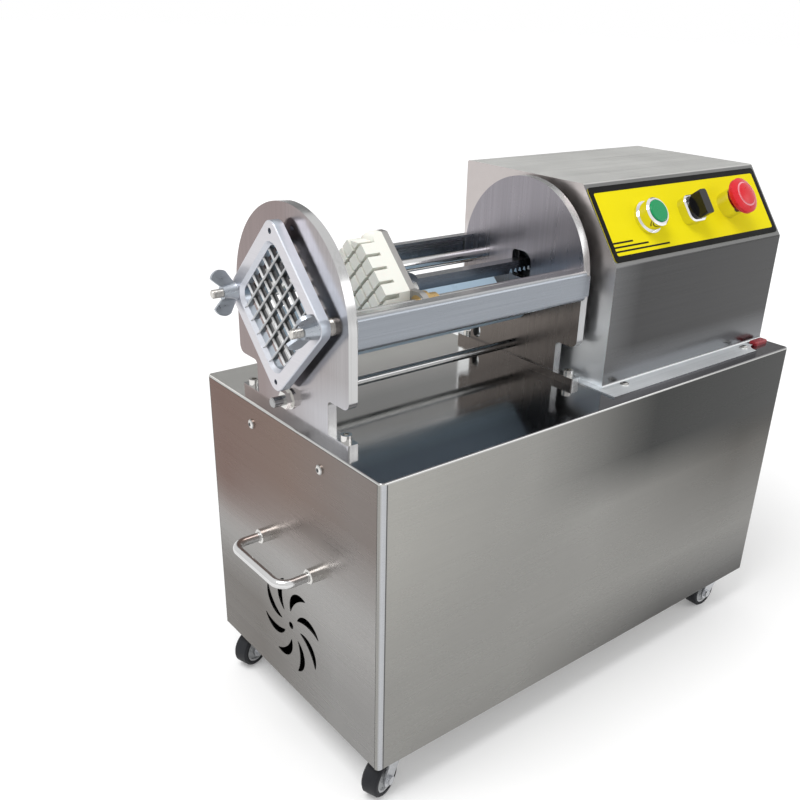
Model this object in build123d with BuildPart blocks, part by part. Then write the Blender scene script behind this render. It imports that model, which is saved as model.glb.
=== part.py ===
from build123d import *
import os
from math import asin, cos, hypot, pi, radians, sin, sqrt, tan

os.makedirs("parts", exist_ok=True)

# Electric strip cutter on castors. Millimetres, +Z up, -X towards the cutting end, -Y towards the controls.
# Stations are counted along the cabinet from its front face, heights from the deck.

# Cabinet
CABINET_LENGTH = 600.0
CABINET_WIDTH = 300.0
CABINET_HEIGHT = 308.0
SHEET = 1.5
CORNER_RADIUS = 4.5
DECK_THICKNESS = 2.0
DECK_EDGE_RADIUS = 1.6
BASE_THICKNESS = 2.0
CASTOR_HEIGHT = 56.0
SKIRT_DEPTH = 9.0
PANEL_SEAM = 0.5
PANEL_FLANGE = 15.0

# Front panel furniture
PANEL_SCREW_SPREAD = 120.0
PANEL_SCREW_DROP = 23.5
SCREW_HEAD_DIAMETER = 9.5
SCREW_HEAD_HEIGHT = 3.0
SCREW_DIAMETER = 5.0
SCREW_LENGTH = 8.0
HANDLE_REACH = 44.0
HANDLE_ROD = 9.0
HANDLE_PITCH = 90.0
HANDLE_OFFSET = -6.5
HANDLE_DROP = 136.5
HANDLE_BEND = 13.0
FERRULE_DIAMETER = 15.0
FERRULE_LENGTH = 11.0
VENT_DROP = 227.0
VENT_SLOTS = 8
VENT_OUTER = 53.0
VENT_INNER = 16.0
VENT_BULGE = 14.0
VENT_HOLLOW = 5.0
VENT_TIP_RADIUS = 0.8
VENT_TWIST = 34.0
VENT_CENTRE_HOLE = 8.0

# Head plates
AXIS_HEIGHT = 108.0
PLATE_THICKNESS = 9.0
FRONT_PLATE_STATION = 9.3
REAR_PLATE_STATION = 291.0
FRONT_PLATE_HALF = 92.0
REAR_PLATE_HALF = 88.0
PLATE_APEX = 197.0
PLATE_SHOULDER = 40.0
PLATE_CORNER = 8.0
NECK_HALF = 60.0
NECK_FILLET = 5.0
FOOT_HALF = 90.0
FOOT_HEIGHT = 8.0
FOOT_DEPTH = 12.0
HEAD_BOLT_SPREAD = 79.0
HEAD_BOLT_DIAMETER = 6.0
HEAD_BOLT_HEAD = 10.0
HEAD_BOLT_HEAD_HEIGHT = 6.0
HEAD_BOLT_LENGTH = 22.0
HEX_SOCKET = 5.0

# Knife grid
CELL = 14.0
CELLS = 6
KNIFE_THICKNESS = 1.0
CROSS_KNIFE_THICKNESS = 2.0
KNIFE_BEVEL = 2.4
CROSS_KNIFE_BEVEL = 3.6
KNIFE_EDGE = 0.2
LONG_KNIFE_FRONT = -5.0
LONG_KNIFE_BACK = 2.2
CROSS_KNIFE_FRONT = -2.6
CROSS_KNIFE_BACK = 3.2
KNIFE_SEAT = 4.4
KNIFE_CLEARANCE = 0.05
FRAME_SIDE = 114.0
FRAME_CORNER = 12.0
FRAME_WINDOW_CORNER = 11.0
FRAME_FRONT = -6.0
FRAME_THICKNESS = 9.4
FRAME_LEAD_IN = 3.4
FRAME_EDGE_BREAK = 0.8
FRAME_HOLE_RADIUS = 67.0
FRAME_CORNER_HOLE = 5.0
STUD_DIAMETER = 8.0
STUD_TIP = -29.0
STUD_COLLAR = 15.0
NUT_HUB = 17.0
NUT_NOSE = 12.5
NUT_LENGTH = 13.0
NUT_SPAN = 40.0
NUT_RISE = 9.0
NUT_WING = 3.2
NEAR_NUT_TURN = 125.0
FAR_NUT_TURN = 80.0
RUNNING_FIT = 0.05
FACE_GAP = 0.1

# Pusher
PUSHER_FRONT = 79.0
SLOT_WIDTH = 3.0
SLOT_DEPTH = 15.0
BLOCK_CLEARANCE = 0.3
PILLAR_TRUNCATION = 48.0
BASE_TRUNCATION = 54.8
BLOCK_LENGTH = 27.0
BACK_PLATE_THICKNESS = 6.5
WINDOW_CLEARANCE = 1.2
GUIDE_ROD_DIAMETER = 12.0
GUIDE_ROD_SPREAD = 58.0
GUIDE_ROD_SPIGOT = 6.0
BUSH_DIAMETER = 18.0
BUSH_LENGTH = 21.0
BUSH_FLANGE = 24.0
BUSH_FLANGE_THICKNESS = 3.0
EAR_RADIUS = 12.0
FORWARD_TRAVEL = 87.0
BACK_TRAVEL = 100.0
CLEVIS_BASE = 34.0
CLEVIS_BASE_THICKNESS = 5.0
CLEVIS_EAR = 5.0
CLEVIS_EAR_HEIGHT = 30.0
CLEVIS_LENGTH = 34.0
CLEVIS_BOLT = 8.0
CLEVIS_BOLT_STATION = 22.0

# Rails, trough, tie rod
RAIL_LATERAL = 92.5
RAIL_BOTTOM = 90.0
RAIL_HEIGHT = 30.5
RAIL_FLANGE = 13.5
RAIL_SHEET = 2.5
RAIL_BEND = 5.0
FAR_RAIL_RISE = 3.5
TROUGH_SHEET = 1.5
TROUGH_GAP = 1.2
TROUGH_BEND = 10.0
TROUGH_HALF = 46.0
TIE_ROD_DIAMETER = 9.5
TIE_ROD_LATERAL = 2.0
TIE_ROD_HEIGHT = 21.0
TIE_ROD_TIP = -10.0
TIE_NUT_ACROSS = 15.0
TIE_NUT_HEIGHT = 6.0
TIE_WASHER = 20.0
TIE_WASHER_THICKNESS = 1.6
BAR_SLOT_HEIGHT = 28.0
BAR_SLOT_NEAR = 15.0
BAR_SLOT_FAR = 13.0
BAR_SLOT_ROUND = 12.0
BAR_SLOT_CORNER = 4.0
RAIL_LAP = 5.0
PEEP_LATERAL = 61.0
PEEP_HEIGHT = 17.5
PEEP_WIDTH = 12.0
PEEP_RISE = 13.5
REAR_NECK_FAR = 71.0

# Rack and pinion drive
BAR_SIDE = 12.0
BAR_END = 487.0
MODULE = 2.0
PINION_TEETH = 20
PRESSURE_ANGLE = 20.0
BACKLASH = 0.3
TOOTH_TIP_EASE = 0.1
PINION_STATION = 385.0
PINION_WIDTH = 14.0
PINION_SHAFT = 16.0
SHAFT_SEAT = 30.0
GUIDE_STATION = 318.0
GUIDE_LENGTH = 30.0
GUIDE_WIDTH = 44.0
GUIDE_TOP = 12.0
GUIDE_FOOT = 70.0
GUIDE_FOOT_THICKNESS = 8.0
GUIDE_ARM = 62.0
MOUNT_THICKNESS = 8.0
MOUNT_LENGTH = 128.0
MOUNT_WIDTH = 112.0
GEARBOX_LATERAL = 13.0
GEARBOX_LENGTH = 100.0
GEARBOX_WIDTH = 80.0
GEARBOX_HEIGHT = 118.0
GEARBOX_BOSS = 44.0
GEARBOX_BOSS_LENGTH = 3.0
MOTOR_OFFSET = 40.0
MOTOR_DIAMETER = 96.0
MOTOR_LENGTH = 175.0
MOTOR_FLANGE = 112.0
MOTOR_FLANGE_THICKNESS = 10.0
MOTOR_SHAFT = 14.0
MOTOR_OPENING_CLEARANCE = 4.0
MOTOR_RIB = 3.0
MOTOR_RIBS = 16

# Housing and controls
HOUSING_START = 310.0
HOUSING_END = 598.0
HOUSING_HALF = 111.6
HOUSING_KNEE = 124.8
HOUSING_RIDGE = 58.0
HOUSING_BEND = 3.0
HOUSING_FLANGE = 25.5
HOUSING_LIP = 9.5
HOUSING_FLANGE_END = 566.0
HOUSING_RELIEF = 14.0
HOUSING_OPENING = 44.0
HOUSING_SCREWS = ((336.0, -120.0), (547.0, -123.0), (336.0, 120.0), (547.0, 123.0))
LABEL_START = 312.0
LABEL_LENGTH = 283.0
LABEL_WIDTH = 79.5
LABEL_THICKNESS = 0.5
LABEL_CORNER = 4.0
BUTTON_STATIONS = (381.0, 451.0, 519.5)
BEZEL_DIAMETER = 31.0
BEZEL_HEIGHT = 17.0
BEZEL_BASE = 35.0
BEZEL_BASE_HEIGHT = 3.5
BEZEL_CHAMFER = 1.5
BARREL_DIAMETER = 22.0
BARREL_LENGTH = 14.0
BUTTON_PROUD = 18.5
BUTTON_STROKE = 3.0
BUTTON_DIAMETER = 24.0
BUTTON_STEM = 10.0
SELECTOR_SIDE = 30.0
SELECTOR_CORNER = 9.0
SELECTOR_HEIGHT = 11.0
SELECTOR_DISC = 26.0
SELECTOR_DISC_HEIGHT = 2.0
SELECTOR_LEVER = 12.0
SELECTOR_LEVER_LENGTH = 27.0
SELECTOR_LEVER_CORNER = 3.0
SELECTOR_PROUD = 25.0
ESTOP_DIAMETER = 40.0
ESTOP_PROUD = 31.0
ESTOP_RIM = 5.0
ESTOP_RING = 28.0
ESTOP_RING_WIDTH = 1.6
ESTOP_RING_FLOOR = 27.8
ESTOP_COLLAR = 30.0
ESTOP_COLLAR_HEIGHT = 15.0
ESTOP_STROKE = 4.0
CONTACT_SIDE = 30.0
CONTACT_DEPTH = 34.0

# Low red pad on the deck
PAD_STATION = 580.0
PAD_LATERAL = 121.0
PAD_LENGTH = 24.0
PAD_WIDTH = 11.0
PAD_HEIGHT = 4.5
PAD_CORNER = 3.0

# Cable gland under the base
GLAND_STATION = 480.0
GLAND_LATERAL = 70.0
GLAND_DIAMETER = 16.0
GLAND_HEX_HEIGHT = 6.0
GLAND_NOSE = 11.0

# Castors
WHEEL_DIAMETER = 40.0
WHEEL_WIDTH = 18.0
TYRE_THICKNESS = 5.0
TYRE_CHAMFER = 2.0
CASTOR_TRAIL = 19.5
CASTOR_INSET_X = 34.0
CASTOR_INSET_Y = 24.5
CASTOR_PLATE = 42.0
CASTOR_PLATE_THICKNESS = 2.5
RACE_DIAMETER = 30.0
RACE_HEIGHT = 3.0
FORK_SHEET = 2.0
FORK_CROWN = 17.5
FORK_SIDE_GAP = 0.7
AXLE_DIAMETER = 6.0
AXLE_HEAD = 10.0
AXLE_HEAD_HEIGHT = 3.0
KINGPIN_DIAMETER = 8.0

# Reference positions
DECK = CASTOR_HEIGHT + CABINET_HEIGHT - SKIRT_DEPTH
FRONT = -(CABINET_LENGTH + HANDLE_REACH) / 2 + HANDLE_REACH
CABINET_MID = FRONT + CABINET_LENGTH / 2
SKIRT = DECK - CABINET_HEIGHT
AXIS = DECK + AXIS_HEIGHT
WINDOW = CELL * CELLS
BLOCK_SIDE = WINDOW - 2 * BLOCK_CLEARANCE
FRONT_PLATE_BACK = FRONT_PLATE_STATION + PLATE_THICKNESS
REAR_PLATE_BACK = REAR_PLATE_STATION + PLATE_THICKNESS
BACK_PLATE_STATION = PUSHER_FRONT + BLOCK_LENGTH
CLEVIS_STATION = BACK_PLATE_STATION + BACK_PLATE_THICKNESS
KNIFE_OFFSETS = [(i - (CELLS - 2) / 2) * CELL for i in range(CELLS - 1)]
PITCH_RADIUS = MODULE * PINION_TEETH / 2
PINION_HEIGHT = AXIS_HEIGHT - BAR_SIDE / 2 + MODULE - PITCH_RADIUS


def across(station):
    """Plane across the machine: local x is +Y, local y is +Z, extrusions go towards the motor end."""
    return Plane(origin=(FRONT + station, 0, DECK), x_dir=(0, 1, 0), z_dir=(1, 0, 0))


def diagonal(station):
    """Plane across the push axis with its axes along the sides of the knife window."""
    return Plane(origin=(FRONT + station, 0, AXIS), x_dir=(0, 1, 1), z_dir=(1, 0, 0))


def level(height):
    """Horizontal plane at a height above the deck with local x counted in stations."""
    return Plane(origin=(FRONT, 0, DECK + height), x_dir=(1, 0, 0), z_dir=(0, 0, 1))


def upright(lateral):
    """Vertical plane along the machine, local x in stations, local y in heights, extrusions go to -Y."""
    return Plane(origin=(FRONT, lateral, DECK), x_dir=(1, 0, 0), z_dir=(0, -1, 0))


# Cabinet shell: wrapped wall open at the front, with a return frame behind the front panel
with BuildPart() as cabinet_shell:
    with BuildSketch(level(-CABINET_HEIGHT)):
        with Locations((CABINET_LENGTH / 2, 0)):
            RectangleRounded(CABINET_LENGTH, CABINET_WIDTH, CORNER_RADIUS)
            RectangleRounded(
                CABINET_LENGTH - 2 * SHEET,
                CABINET_WIDTH - 2 * SHEET,
                CORNER_RADIUS - SHEET,
                mode=Mode.SUBTRACT,
            )
    extrude(amount=CABINET_HEIGHT - DECK_THICKNESS)
    with BuildSketch(across(0)):
        with Locations((0, -CABINET_HEIGHT / 2)):
            Rectangle(CABINET_WIDTH - 2 * CORNER_RADIUS, CABINET_HEIGHT)
    extrude(amount=SHEET, mode=Mode.SUBTRACT)
    with BuildSketch(across(SHEET)):
        with Locations((0, -(CABINET_HEIGHT + DECK_THICKNESS) / 2)):
            Rectangle(CABINET_WIDTH - 2 * SHEET, CABINET_HEIGHT - DECK_THICKNESS)
            Rectangle(
                CABINET_WIDTH - 2 * SHEET - 2 * PANEL_FLANGE,
                CABINET_HEIGHT - DECK_THICKNESS - 4 * PANEL_FLANGE,
                mode=Mode.SUBTRACT,
            )
        with Locations((0, -PANEL_SCREW_DROP)):
            with GridLocations(PANEL_SCREW_SPREAD, 0, 2, 1):
                Circle(SCREW_DIAMETER / 2, mode=Mode.SUBTRACT)
    extrude(amount=SHEET)
cabinet_shell.part.label = "cabinet_shell"
export_step(cabinet_shell.part, "parts/cabinet_shell.step")

# Front panel with the swirl vent
with BuildPart() as front_panel:
    with BuildSketch(across(0)):
        with Locations((0, -(CABINET_HEIGHT + DECK_THICKNESS) / 2)):
            Rectangle(
                CABINET_WIDTH - 2 * CORNER_RADIUS - 2 * PANEL_SEAM,
                CABINET_HEIGHT - DECK_THICKNESS - 2 * PANEL_SEAM,
            )
        with Locations((0, -PANEL_SCREW_DROP)):
            with GridLocations(PANEL_SCREW_SPREAD, 0, 2, 1):
                Circle(SCREW_DIAMETER / 2, mode=Mode.SUBTRACT)
        with Locations((HANDLE_OFFSET, -HANDLE_DROP)):
            with GridLocations(HANDLE_PITCH, 0, 2, 1):
                Circle(SCREW_DIAMETER / 2, mode=Mode.SUBTRACT)
        with Locations((0, -VENT_DROP)):
            Circle(VENT_CENTRE_HOLE / 2, mode=Mode.SUBTRACT)
            inner_tip = Vector(VENT_INNER, 0)
            outer_tip = Vector(VENT_OUTER, 0).rotate(Axis.Z, VENT_TWIST)
            with BuildSketch(mode=Mode.PRIVATE) as vent_slot:
                with BuildLine():
                    SagittaArc(inner_tip, outer_tip, -VENT_BULGE)
                    SagittaArc(inner_tip, outer_tip, -VENT_HOLLOW)
                make_face()
                fillet(vent_slot.vertices(), VENT_TIP_RADIUS)
            with PolarLocations(0, VENT_SLOTS):
                add(vent_slot.sketch, mode=Mode.SUBTRACT)
    extrude(amount=SHEET)
front_panel.part.label = "front_panel"
export_step(front_panel.part, "parts/front_panel.step")

# Deck with the opening for the motor
MOTOR_STATION = PINION_STATION + MOTOR_OFFSET
MOTOR_LATERAL = GEARBOX_LATERAL + GEARBOX_WIDTH / 2
with BuildPart() as deck_plate:
    with BuildSketch(level(-DECK_THICKNESS)):
        with Locations((CABINET_LENGTH / 2, 0)):
            RectangleRounded(CABINET_LENGTH, CABINET_WIDTH, CORNER_RADIUS)
        with Locations((MOTOR_STATION, MOTOR_LATERAL)):
            Circle(MOTOR_FLANGE / 2 + MOTOR_OPENING_CLEARANCE, mode=Mode.SUBTRACT)
        foot_mids = (
            FRONT_PLATE_STATION + FOOT_DEPTH / 2,
            REAR_PLATE_BACK - FOOT_DEPTH / 2,
        )
        for foot_mid in foot_mids:
            with Locations((foot_mid, 0)):
                with GridLocations(0, 2 * HEAD_BOLT_SPREAD, 1, 2):
                    Circle(HEAD_BOLT_DIAMETER / 2, mode=Mode.SUBTRACT)
        with Locations(*HOUSING_SCREWS):
            Circle(SCREW_DIAMETER / 2, mode=Mode.SUBTRACT)
    extrude(amount=DECK_THICKNESS)
    fillet(deck_plate.faces().sort_by(Axis.Z)[-1].outer_wire().edges(), DECK_EDGE_RADIUS)
deck_plate.part.label = "deck_plate"
export_step(deck_plate.part, "parts/deck_plate.step")

# Base plate inside the skirt
with BuildPart() as base_plate:
    with BuildSketch(level(CASTOR_HEIGHT - DECK)):
        with Locations(((CABINET_LENGTH + SHEET) / 2, 0)):
            RectangleRounded(CABINET_LENGTH - 3 * SHEET, CABINET_WIDTH - 2 * SHEET, CORNER_RADIUS - SHEET)
        with Locations((GLAND_STATION, GLAND_LATERAL)):
            Circle(GLAND_DIAMETER / 2, mode=Mode.SUBTRACT)
    extrude(amount=BASE_THICKNESS)
base_plate.part.label = "base_plate"
export_step(base_plate.part, "parts/base_plate.step")

# Cable gland below the base plate
with BuildPart() as cable_gland:
    with BuildSketch(level(CASTOR_HEIGHT - DECK)):
        with Locations((GLAND_STATION, GLAND_LATERAL)):
            RegularPolygon(GLAND_DIAMETER * 0.78, 6)
    extrude(amount=-GLAND_HEX_HEIGHT)
    with BuildSketch(level(CASTOR_HEIGHT - DECK - GLAND_HEX_HEIGHT)):
        with Locations((GLAND_STATION, GLAND_LATERAL)):
            Circle(GLAND_DIAMETER * 0.66)
    extrude(amount=-GLAND_NOSE, taper=8)
    with BuildSketch(level(CASTOR_HEIGHT - DECK)):
        with Locations((GLAND_STATION, GLAND_LATERAL)):
            Circle(GLAND_DIAMETER / 2)
    extrude(amount=BASE_THICKNESS + GLAND_HEX_HEIGHT)
    with BuildSketch(level(CASTOR_HEIGHT - DECK - GLAND_HEX_HEIGHT - GLAND_NOSE)):
        with Locations((GLAND_STATION, GLAND_LATERAL)):
            Circle(GLAND_DIAMETER / 4)
    extrude(amount=2 * GLAND_NOSE + GLAND_HEX_HEIGHT, mode=Mode.SUBTRACT)
cable_gland.part.label = "cable_gland"
export_step(cable_gland.part, "parts/cable_gland.step")

# Pan-head screws: two on the front panel, four on the housing flanges
with BuildPart() as pan_head_screw:
    with BuildSketch(Plane.XZ):
        with BuildLine():
            Polyline(
                (0, SCREW_HEAD_HEIGHT),
                (0, -SCREW_LENGTH),
                (SCREW_DIAMETER / 2, -SCREW_LENGTH),
                (SCREW_DIAMETER / 2, 0),
                (SCREW_HEAD_DIAMETER / 2, 0),
                (SCREW_HEAD_DIAMETER / 2, SCREW_HEAD_HEIGHT * 0.4),
            )
            TangentArc(
                (0, SCREW_HEAD_HEIGHT),
                (SCREW_HEAD_DIAMETER / 2, SCREW_HEAD_HEIGHT * 0.4),
                tangent=(1, 0),
            )
        make_face()
    revolve(axis=Axis.Z)

with BuildPart() as panel_screws:
    screw_seats = [
        Plane(origin=(FRONT, s * PANEL_SCREW_SPREAD / 2, DECK - PANEL_SCREW_DROP), z_dir=(-1, 0, 0))
        for s in (-1, 1)
    ]
    screw_seats += [
        Plane(origin=(FRONT + station, lateral, DECK + SHEET)) for station, lateral in HOUSING_SCREWS
    ]
    with Locations(*screw_seats):
        add(pan_head_screw.part)
panel_screws.part.label = "panel_screws"
export_step(panel_screws.part, "parts/panel_screws.step")

# Bow handle and its ferrules
with BuildPart() as handle_bar:
    handle_plane = Plane(
        origin=(FRONT, HANDLE_OFFSET, DECK - HANDLE_DROP), x_dir=(0, 1, 0), z_dir=(0, 0, 1)
    )
    with BuildLine(handle_plane) as handle_path:
        FilletPolyline(
            (-HANDLE_PITCH / 2, 0),
            (-HANDLE_PITCH / 2, HANDLE_REACH - HANDLE_ROD / 2),
            (HANDLE_PITCH / 2, HANDLE_REACH - HANDLE_ROD / 2),
            (HANDLE_PITCH / 2, 0),
            radius=HANDLE_BEND,
        )
    with BuildSketch(Plane(origin=handle_path.line @ 0, z_dir=handle_path.line % 0)):
        Circle(HANDLE_ROD / 2)
    sweep(path=handle_path.line)
    with BuildSketch(Plane(origin=(FRONT, HANDLE_OFFSET, DECK - HANDLE_DROP), x_dir=(0, 1, 0), z_dir=(1, 0, 0))):
        with GridLocations(HANDLE_PITCH, 0, 2, 1):
            Circle(SCREW_DIAMETER / 2)
    extrude(amount=SCREW_LENGTH)
handle_bar.part.label = "handle_bar"
export_step(handle_bar.part, "parts/handle_bar.step")

with BuildPart() as handle_ferrules:
    with BuildSketch(Plane(origin=(FRONT, HANDLE_OFFSET, DECK - HANDLE_DROP), x_dir=(0, -1, 0), z_dir=(-1, 0, 0))):
        with GridLocations(HANDLE_PITCH, 0, 2, 1):
            Circle(FERRULE_DIAMETER / 2)
            Circle(HANDLE_ROD / 2, mode=Mode.SUBTRACT)
    extrude(amount=FERRULE_LENGTH)
    chamfer(handle_ferrules.faces().sort_by(Axis.X)[0:2].edges().filter_by(GeomType.CIRCLE), 1.0)
handle_ferrules.part.label = "handle_ferrules"
export_step(handle_ferrules.part, "parts/handle_ferrules.step")


def head_plate_outline(half_width, far_neck=NECK_HALF):
    """Arched plate on a narrower neck, standing on the deck line."""
    with BuildSketch() as outline:
        with BuildLine():
            Polyline(
                (0, 0),
                (NECK_HALF, 0),
                (NECK_HALF, PLATE_SHOULDER),
                (half_width, PLATE_SHOULDER),
                (half_width, PLATE_APEX - half_width),
            )
            RadiusArc((half_width, PLATE_APEX - half_width), (0, PLATE_APEX), -half_width)
            mirror(about=Plane.YZ)
        make_face()
        ledge = outline.vertices().filter_by_position(Axis.Y, PLATE_SHOULDER - 0.1, PLATE_SHOULDER + 0.1)
        outer = [v for v in ledge if abs(v.X) > NECK_HALF + 0.1]
        fillet(outer, PLATE_CORNER)
        ledge = outline.vertices().filter_by_position(Axis.Y, PLATE_SHOULDER - 0.1, PLATE_SHOULDER + 0.1)
        inner = [v for v in ledge if abs(v.X) < NECK_HALF + 0.1]
        fillet(inner, NECK_FILLET)
        with Locations((NECK_HALF - NECK_FILLET, 0)):
            Rectangle(far_neck - NECK_HALF + NECK_FILLET, PLATE_SHOULDER, align=(Align.MIN, Align.MIN))
    return outline.sketch


def foot_bar():
    """Foot bar of a head plate, drawn round its own middle."""
    with BuildSketch() as foot:
        RectangleRounded(FOOT_DEPTH, 2 * FOOT_HALF, 2.0)
        with GridLocations(0, 2 * HEAD_BOLT_SPREAD, 1, 2):
            Circle(HEAD_BOLT_DIAMETER / 2, mode=Mode.SUBTRACT)
    return foot.sketch


# Front head plate with the window that the pusher block passes through
with BuildPart() as front_head_plate:
    with BuildSketch(across(FRONT_PLATE_STATION)):
        add(head_plate_outline(FRONT_PLATE_HALF))
    extrude(amount=PLATE_THICKNESS)
    with BuildSketch(level(0)):
        with Locations((FRONT_PLATE_STATION + FOOT_DEPTH / 2, 0)):
            add(foot_bar())
    extrude(amount=FOOT_HEIGHT)
    with BuildSketch(diagonal(FRONT_PLATE_STATION)) as window_sketch:
        Rectangle(WINDOW + 2 * WINDOW_CLEARANCE, WINDOW + 2 * WINDOW_CLEARANCE)
        Rectangle(
            2 * (PILLAR_TRUNCATION + WINDOW_CLEARANCE),
            2 * (BASE_TRUNCATION + WINDOW_CLEARANCE),
            rotation=-45,
            mode=Mode.INTERSECT,
        )
        fillet(window_sketch.vertices(), 2.0)
    extrude(amount=PLATE_THICKNESS, mode=Mode.SUBTRACT)
    with BuildSketch(across(FRONT_PLATE_STATION)):
        with Locations((0, AXIS_HEIGHT)):
            with GridLocations(2 * GUIDE_ROD_SPREAD, 0, 2, 1):
                Circle(GUIDE_ROD_SPIGOT / 2)
            with GridLocations(2 * FRAME_HOLE_RADIUS, 0, 2, 1):
                Circle(STUD_DIAMETER / 2)
        with Locations((TIE_ROD_LATERAL, TIE_ROD_HEIGHT)):
            Circle(TIE_ROD_DIAMETER / 2)
    extrude(amount=PLATE_THICKNESS, mode=Mode.SUBTRACT)
front_head_plate.part.label = "front_head_plate"
export_step(front_head_plate.part, "parts/front_head_plate.step")

# Rear head plate with the slot for the push bar, rounder on its near side
with BuildPart() as rear_head_plate:
    with BuildSketch(across(REAR_PLATE_STATION)):
        add(head_plate_outline(REAR_PLATE_HALF, REAR_NECK_FAR))
        with Locations((PEEP_LATERAL, PEEP_HEIGHT)):
            RectangleRounded(PEEP_WIDTH, PEEP_RISE, PEEP_WIDTH / 2 - 1, mode=Mode.SUBTRACT)
        with Locations((0, AXIS_HEIGHT)):
            with BuildSketch(mode=Mode.PRIVATE) as bar_slot:
                with Locations((-BAR_SLOT_NEAR, 0)):
                    Rectangle(
                        BAR_SLOT_FAR + BAR_SLOT_NEAR, BAR_SLOT_HEIGHT, align=(Align.MIN, Align.CENTER)
                    )
                near_top = bar_slot.vertices().sort_by(Axis.X)[:2].sort_by(Axis.Y)[-1]
                others = [v for v in bar_slot.vertices() if v != near_top]
                fillet(others, BAR_SLOT_CORNER)
                near_top = bar_slot.vertices().sort_by(Axis.Y)[-2:].sort_by(Axis.X)[0]
                fillet(near_top, BAR_SLOT_ROUND)
            add(bar_slot.sketch, mode=Mode.SUBTRACT)
            with GridLocations(2 * GUIDE_ROD_SPREAD, 0, 2, 1):
                Circle(GUIDE_ROD_SPIGOT / 2, mode=Mode.SUBTRACT)
        with Locations((TIE_ROD_LATERAL, TIE_ROD_HEIGHT)):
            Circle(TIE_ROD_DIAMETER / 2, mode=Mode.SUBTRACT)
    extrude(amount=PLATE_THICKNESS)
    with BuildSketch(level(0)):
        with Locations((REAR_PLATE_BACK - FOOT_DEPTH / 2, 0)):
            add(foot_bar())
    extrude(amount=FOOT_HEIGHT)
rear_head_plate.part.label = "rear_head_plate"
export_step(rear_head_plate.part, "parts/rear_head_plate.step")

# Socket bolts of both foot bars
with BuildPart() as head_plate_bolts:
    bolt_spots = [
        (foot_mid, side * HEAD_BOLT_SPREAD) for foot_mid in foot_mids for side in (-1, 1)
    ]
    with BuildSketch(level(FOOT_HEIGHT)):
        with Locations(*bolt_spots):
            Circle(HEAD_BOLT_HEAD / 2)
    extrude(amount=HEAD_BOLT_HEAD_HEIGHT)
    with BuildSketch(level(FOOT_HEIGHT)):
        with Locations(*bolt_spots):
            Circle(HEAD_BOLT_DIAMETER / 2)
    extrude(amount=-HEAD_BOLT_LENGTH)
    with BuildSketch(level(FOOT_HEIGHT + HEAD_BOLT_HEAD_HEIGHT)):
        with Locations(*bolt_spots):
            RegularPolygon(HEX_SOCKET / 2, 6, major_radius=False)
    extrude(amount=-HEAD_BOLT_HEAD_HEIGHT / 2, mode=Mode.SUBTRACT)
head_plate_bolts.part.label = "head_plate_bolts"
export_step(head_plate_bolts.part, "parts/head_plate_bolts.step")


def rail_profile(hand):
    """C section with its web at local x = 0 and both flanges turned towards +x (hand 1) or -x (hand -1)."""
    with BuildSketch() as section:
        with BuildLine():
            FilletPolyline(
                (hand * RAIL_FLANGE, 0),
                (0, 0),
                (0, RAIL_HEIGHT),
                (hand * RAIL_FLANGE, RAIL_HEIGHT),
                radius=RAIL_BEND,
            )
            offset(amount=RAIL_SHEET, side=Side.RIGHT if hand > 0 else Side.LEFT)
        make_face()
    return section.sketch


# Side rails between the head plates; the webs run on past the edges of the rear plate
RAIL_LENGTH = REAR_PLATE_STATION - FRONT_PLATE_BACK
with BuildPart() as near_rail:
    with BuildSketch(across(FRONT_PLATE_BACK)):
        with Locations((-RAIL_LATERAL, RAIL_BOTTOM)):
            add(rail_profile(1))
    extrude(amount=RAIL_LENGTH)
    with BuildSketch(across(REAR_PLATE_STATION)):
        with Locations((-RAIL_LATERAL, RAIL_BOTTOM + RAIL_BEND)):
            Rectangle(RAIL_SHEET, RAIL_HEIGHT - 2 * RAIL_BEND, align=(Align.MIN, Align.MIN))
    extrude(amount=RAIL_LAP)
near_rail.part.label = "near_rail"
export_step(near_rail.part, "parts/near_rail.step")

with BuildPart() as far_rail:
    with BuildSketch(across(FRONT_PLATE_BACK)):
        with Locations((RAIL_LATERAL, RAIL_BOTTOM + FAR_RAIL_RISE)):
            add(rail_profile(-1))
    extrude(amount=RAIL_LENGTH)
    with BuildSketch(across(REAR_PLATE_STATION)):
        with Locations((RAIL_LATERAL, RAIL_BOTTOM + FAR_RAIL_RISE + RAIL_BEND)):
            Rectangle(RAIL_SHEET, RAIL_HEIGHT - 2 * RAIL_BEND, align=(Align.MAX, Align.MIN))
    extrude(amount=RAIL_LAP)
far_rail.part.label = "far_rail"
export_step(far_rail.part, "parts/far_rail.step")

# V trough under the push axis
TROUGH_DISTANCE = WINDOW / 2 + TROUGH_GAP
TROUGH_APEX = AXIS_HEIGHT - TROUGH_DISTANCE * sqrt(2)
with BuildPart() as feed_trough:
    with BuildSketch(across(FRONT_PLATE_BACK)):
        with BuildLine():
            FilletPolyline(
                (-TROUGH_HALF, TROUGH_APEX + TROUGH_HALF),
                (0, TROUGH_APEX),
                (TROUGH_HALF, TROUGH_APEX + TROUGH_HALF),
                radius=TROUGH_BEND,
            )
            offset(amount=TROUGH_SHEET, side=Side.RIGHT)
        make_face()
    extrude(amount=RAIL_LENGTH)
feed_trough.part.label = "feed_trough"
export_step(feed_trough.part, "parts/feed_trough.step")

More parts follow.
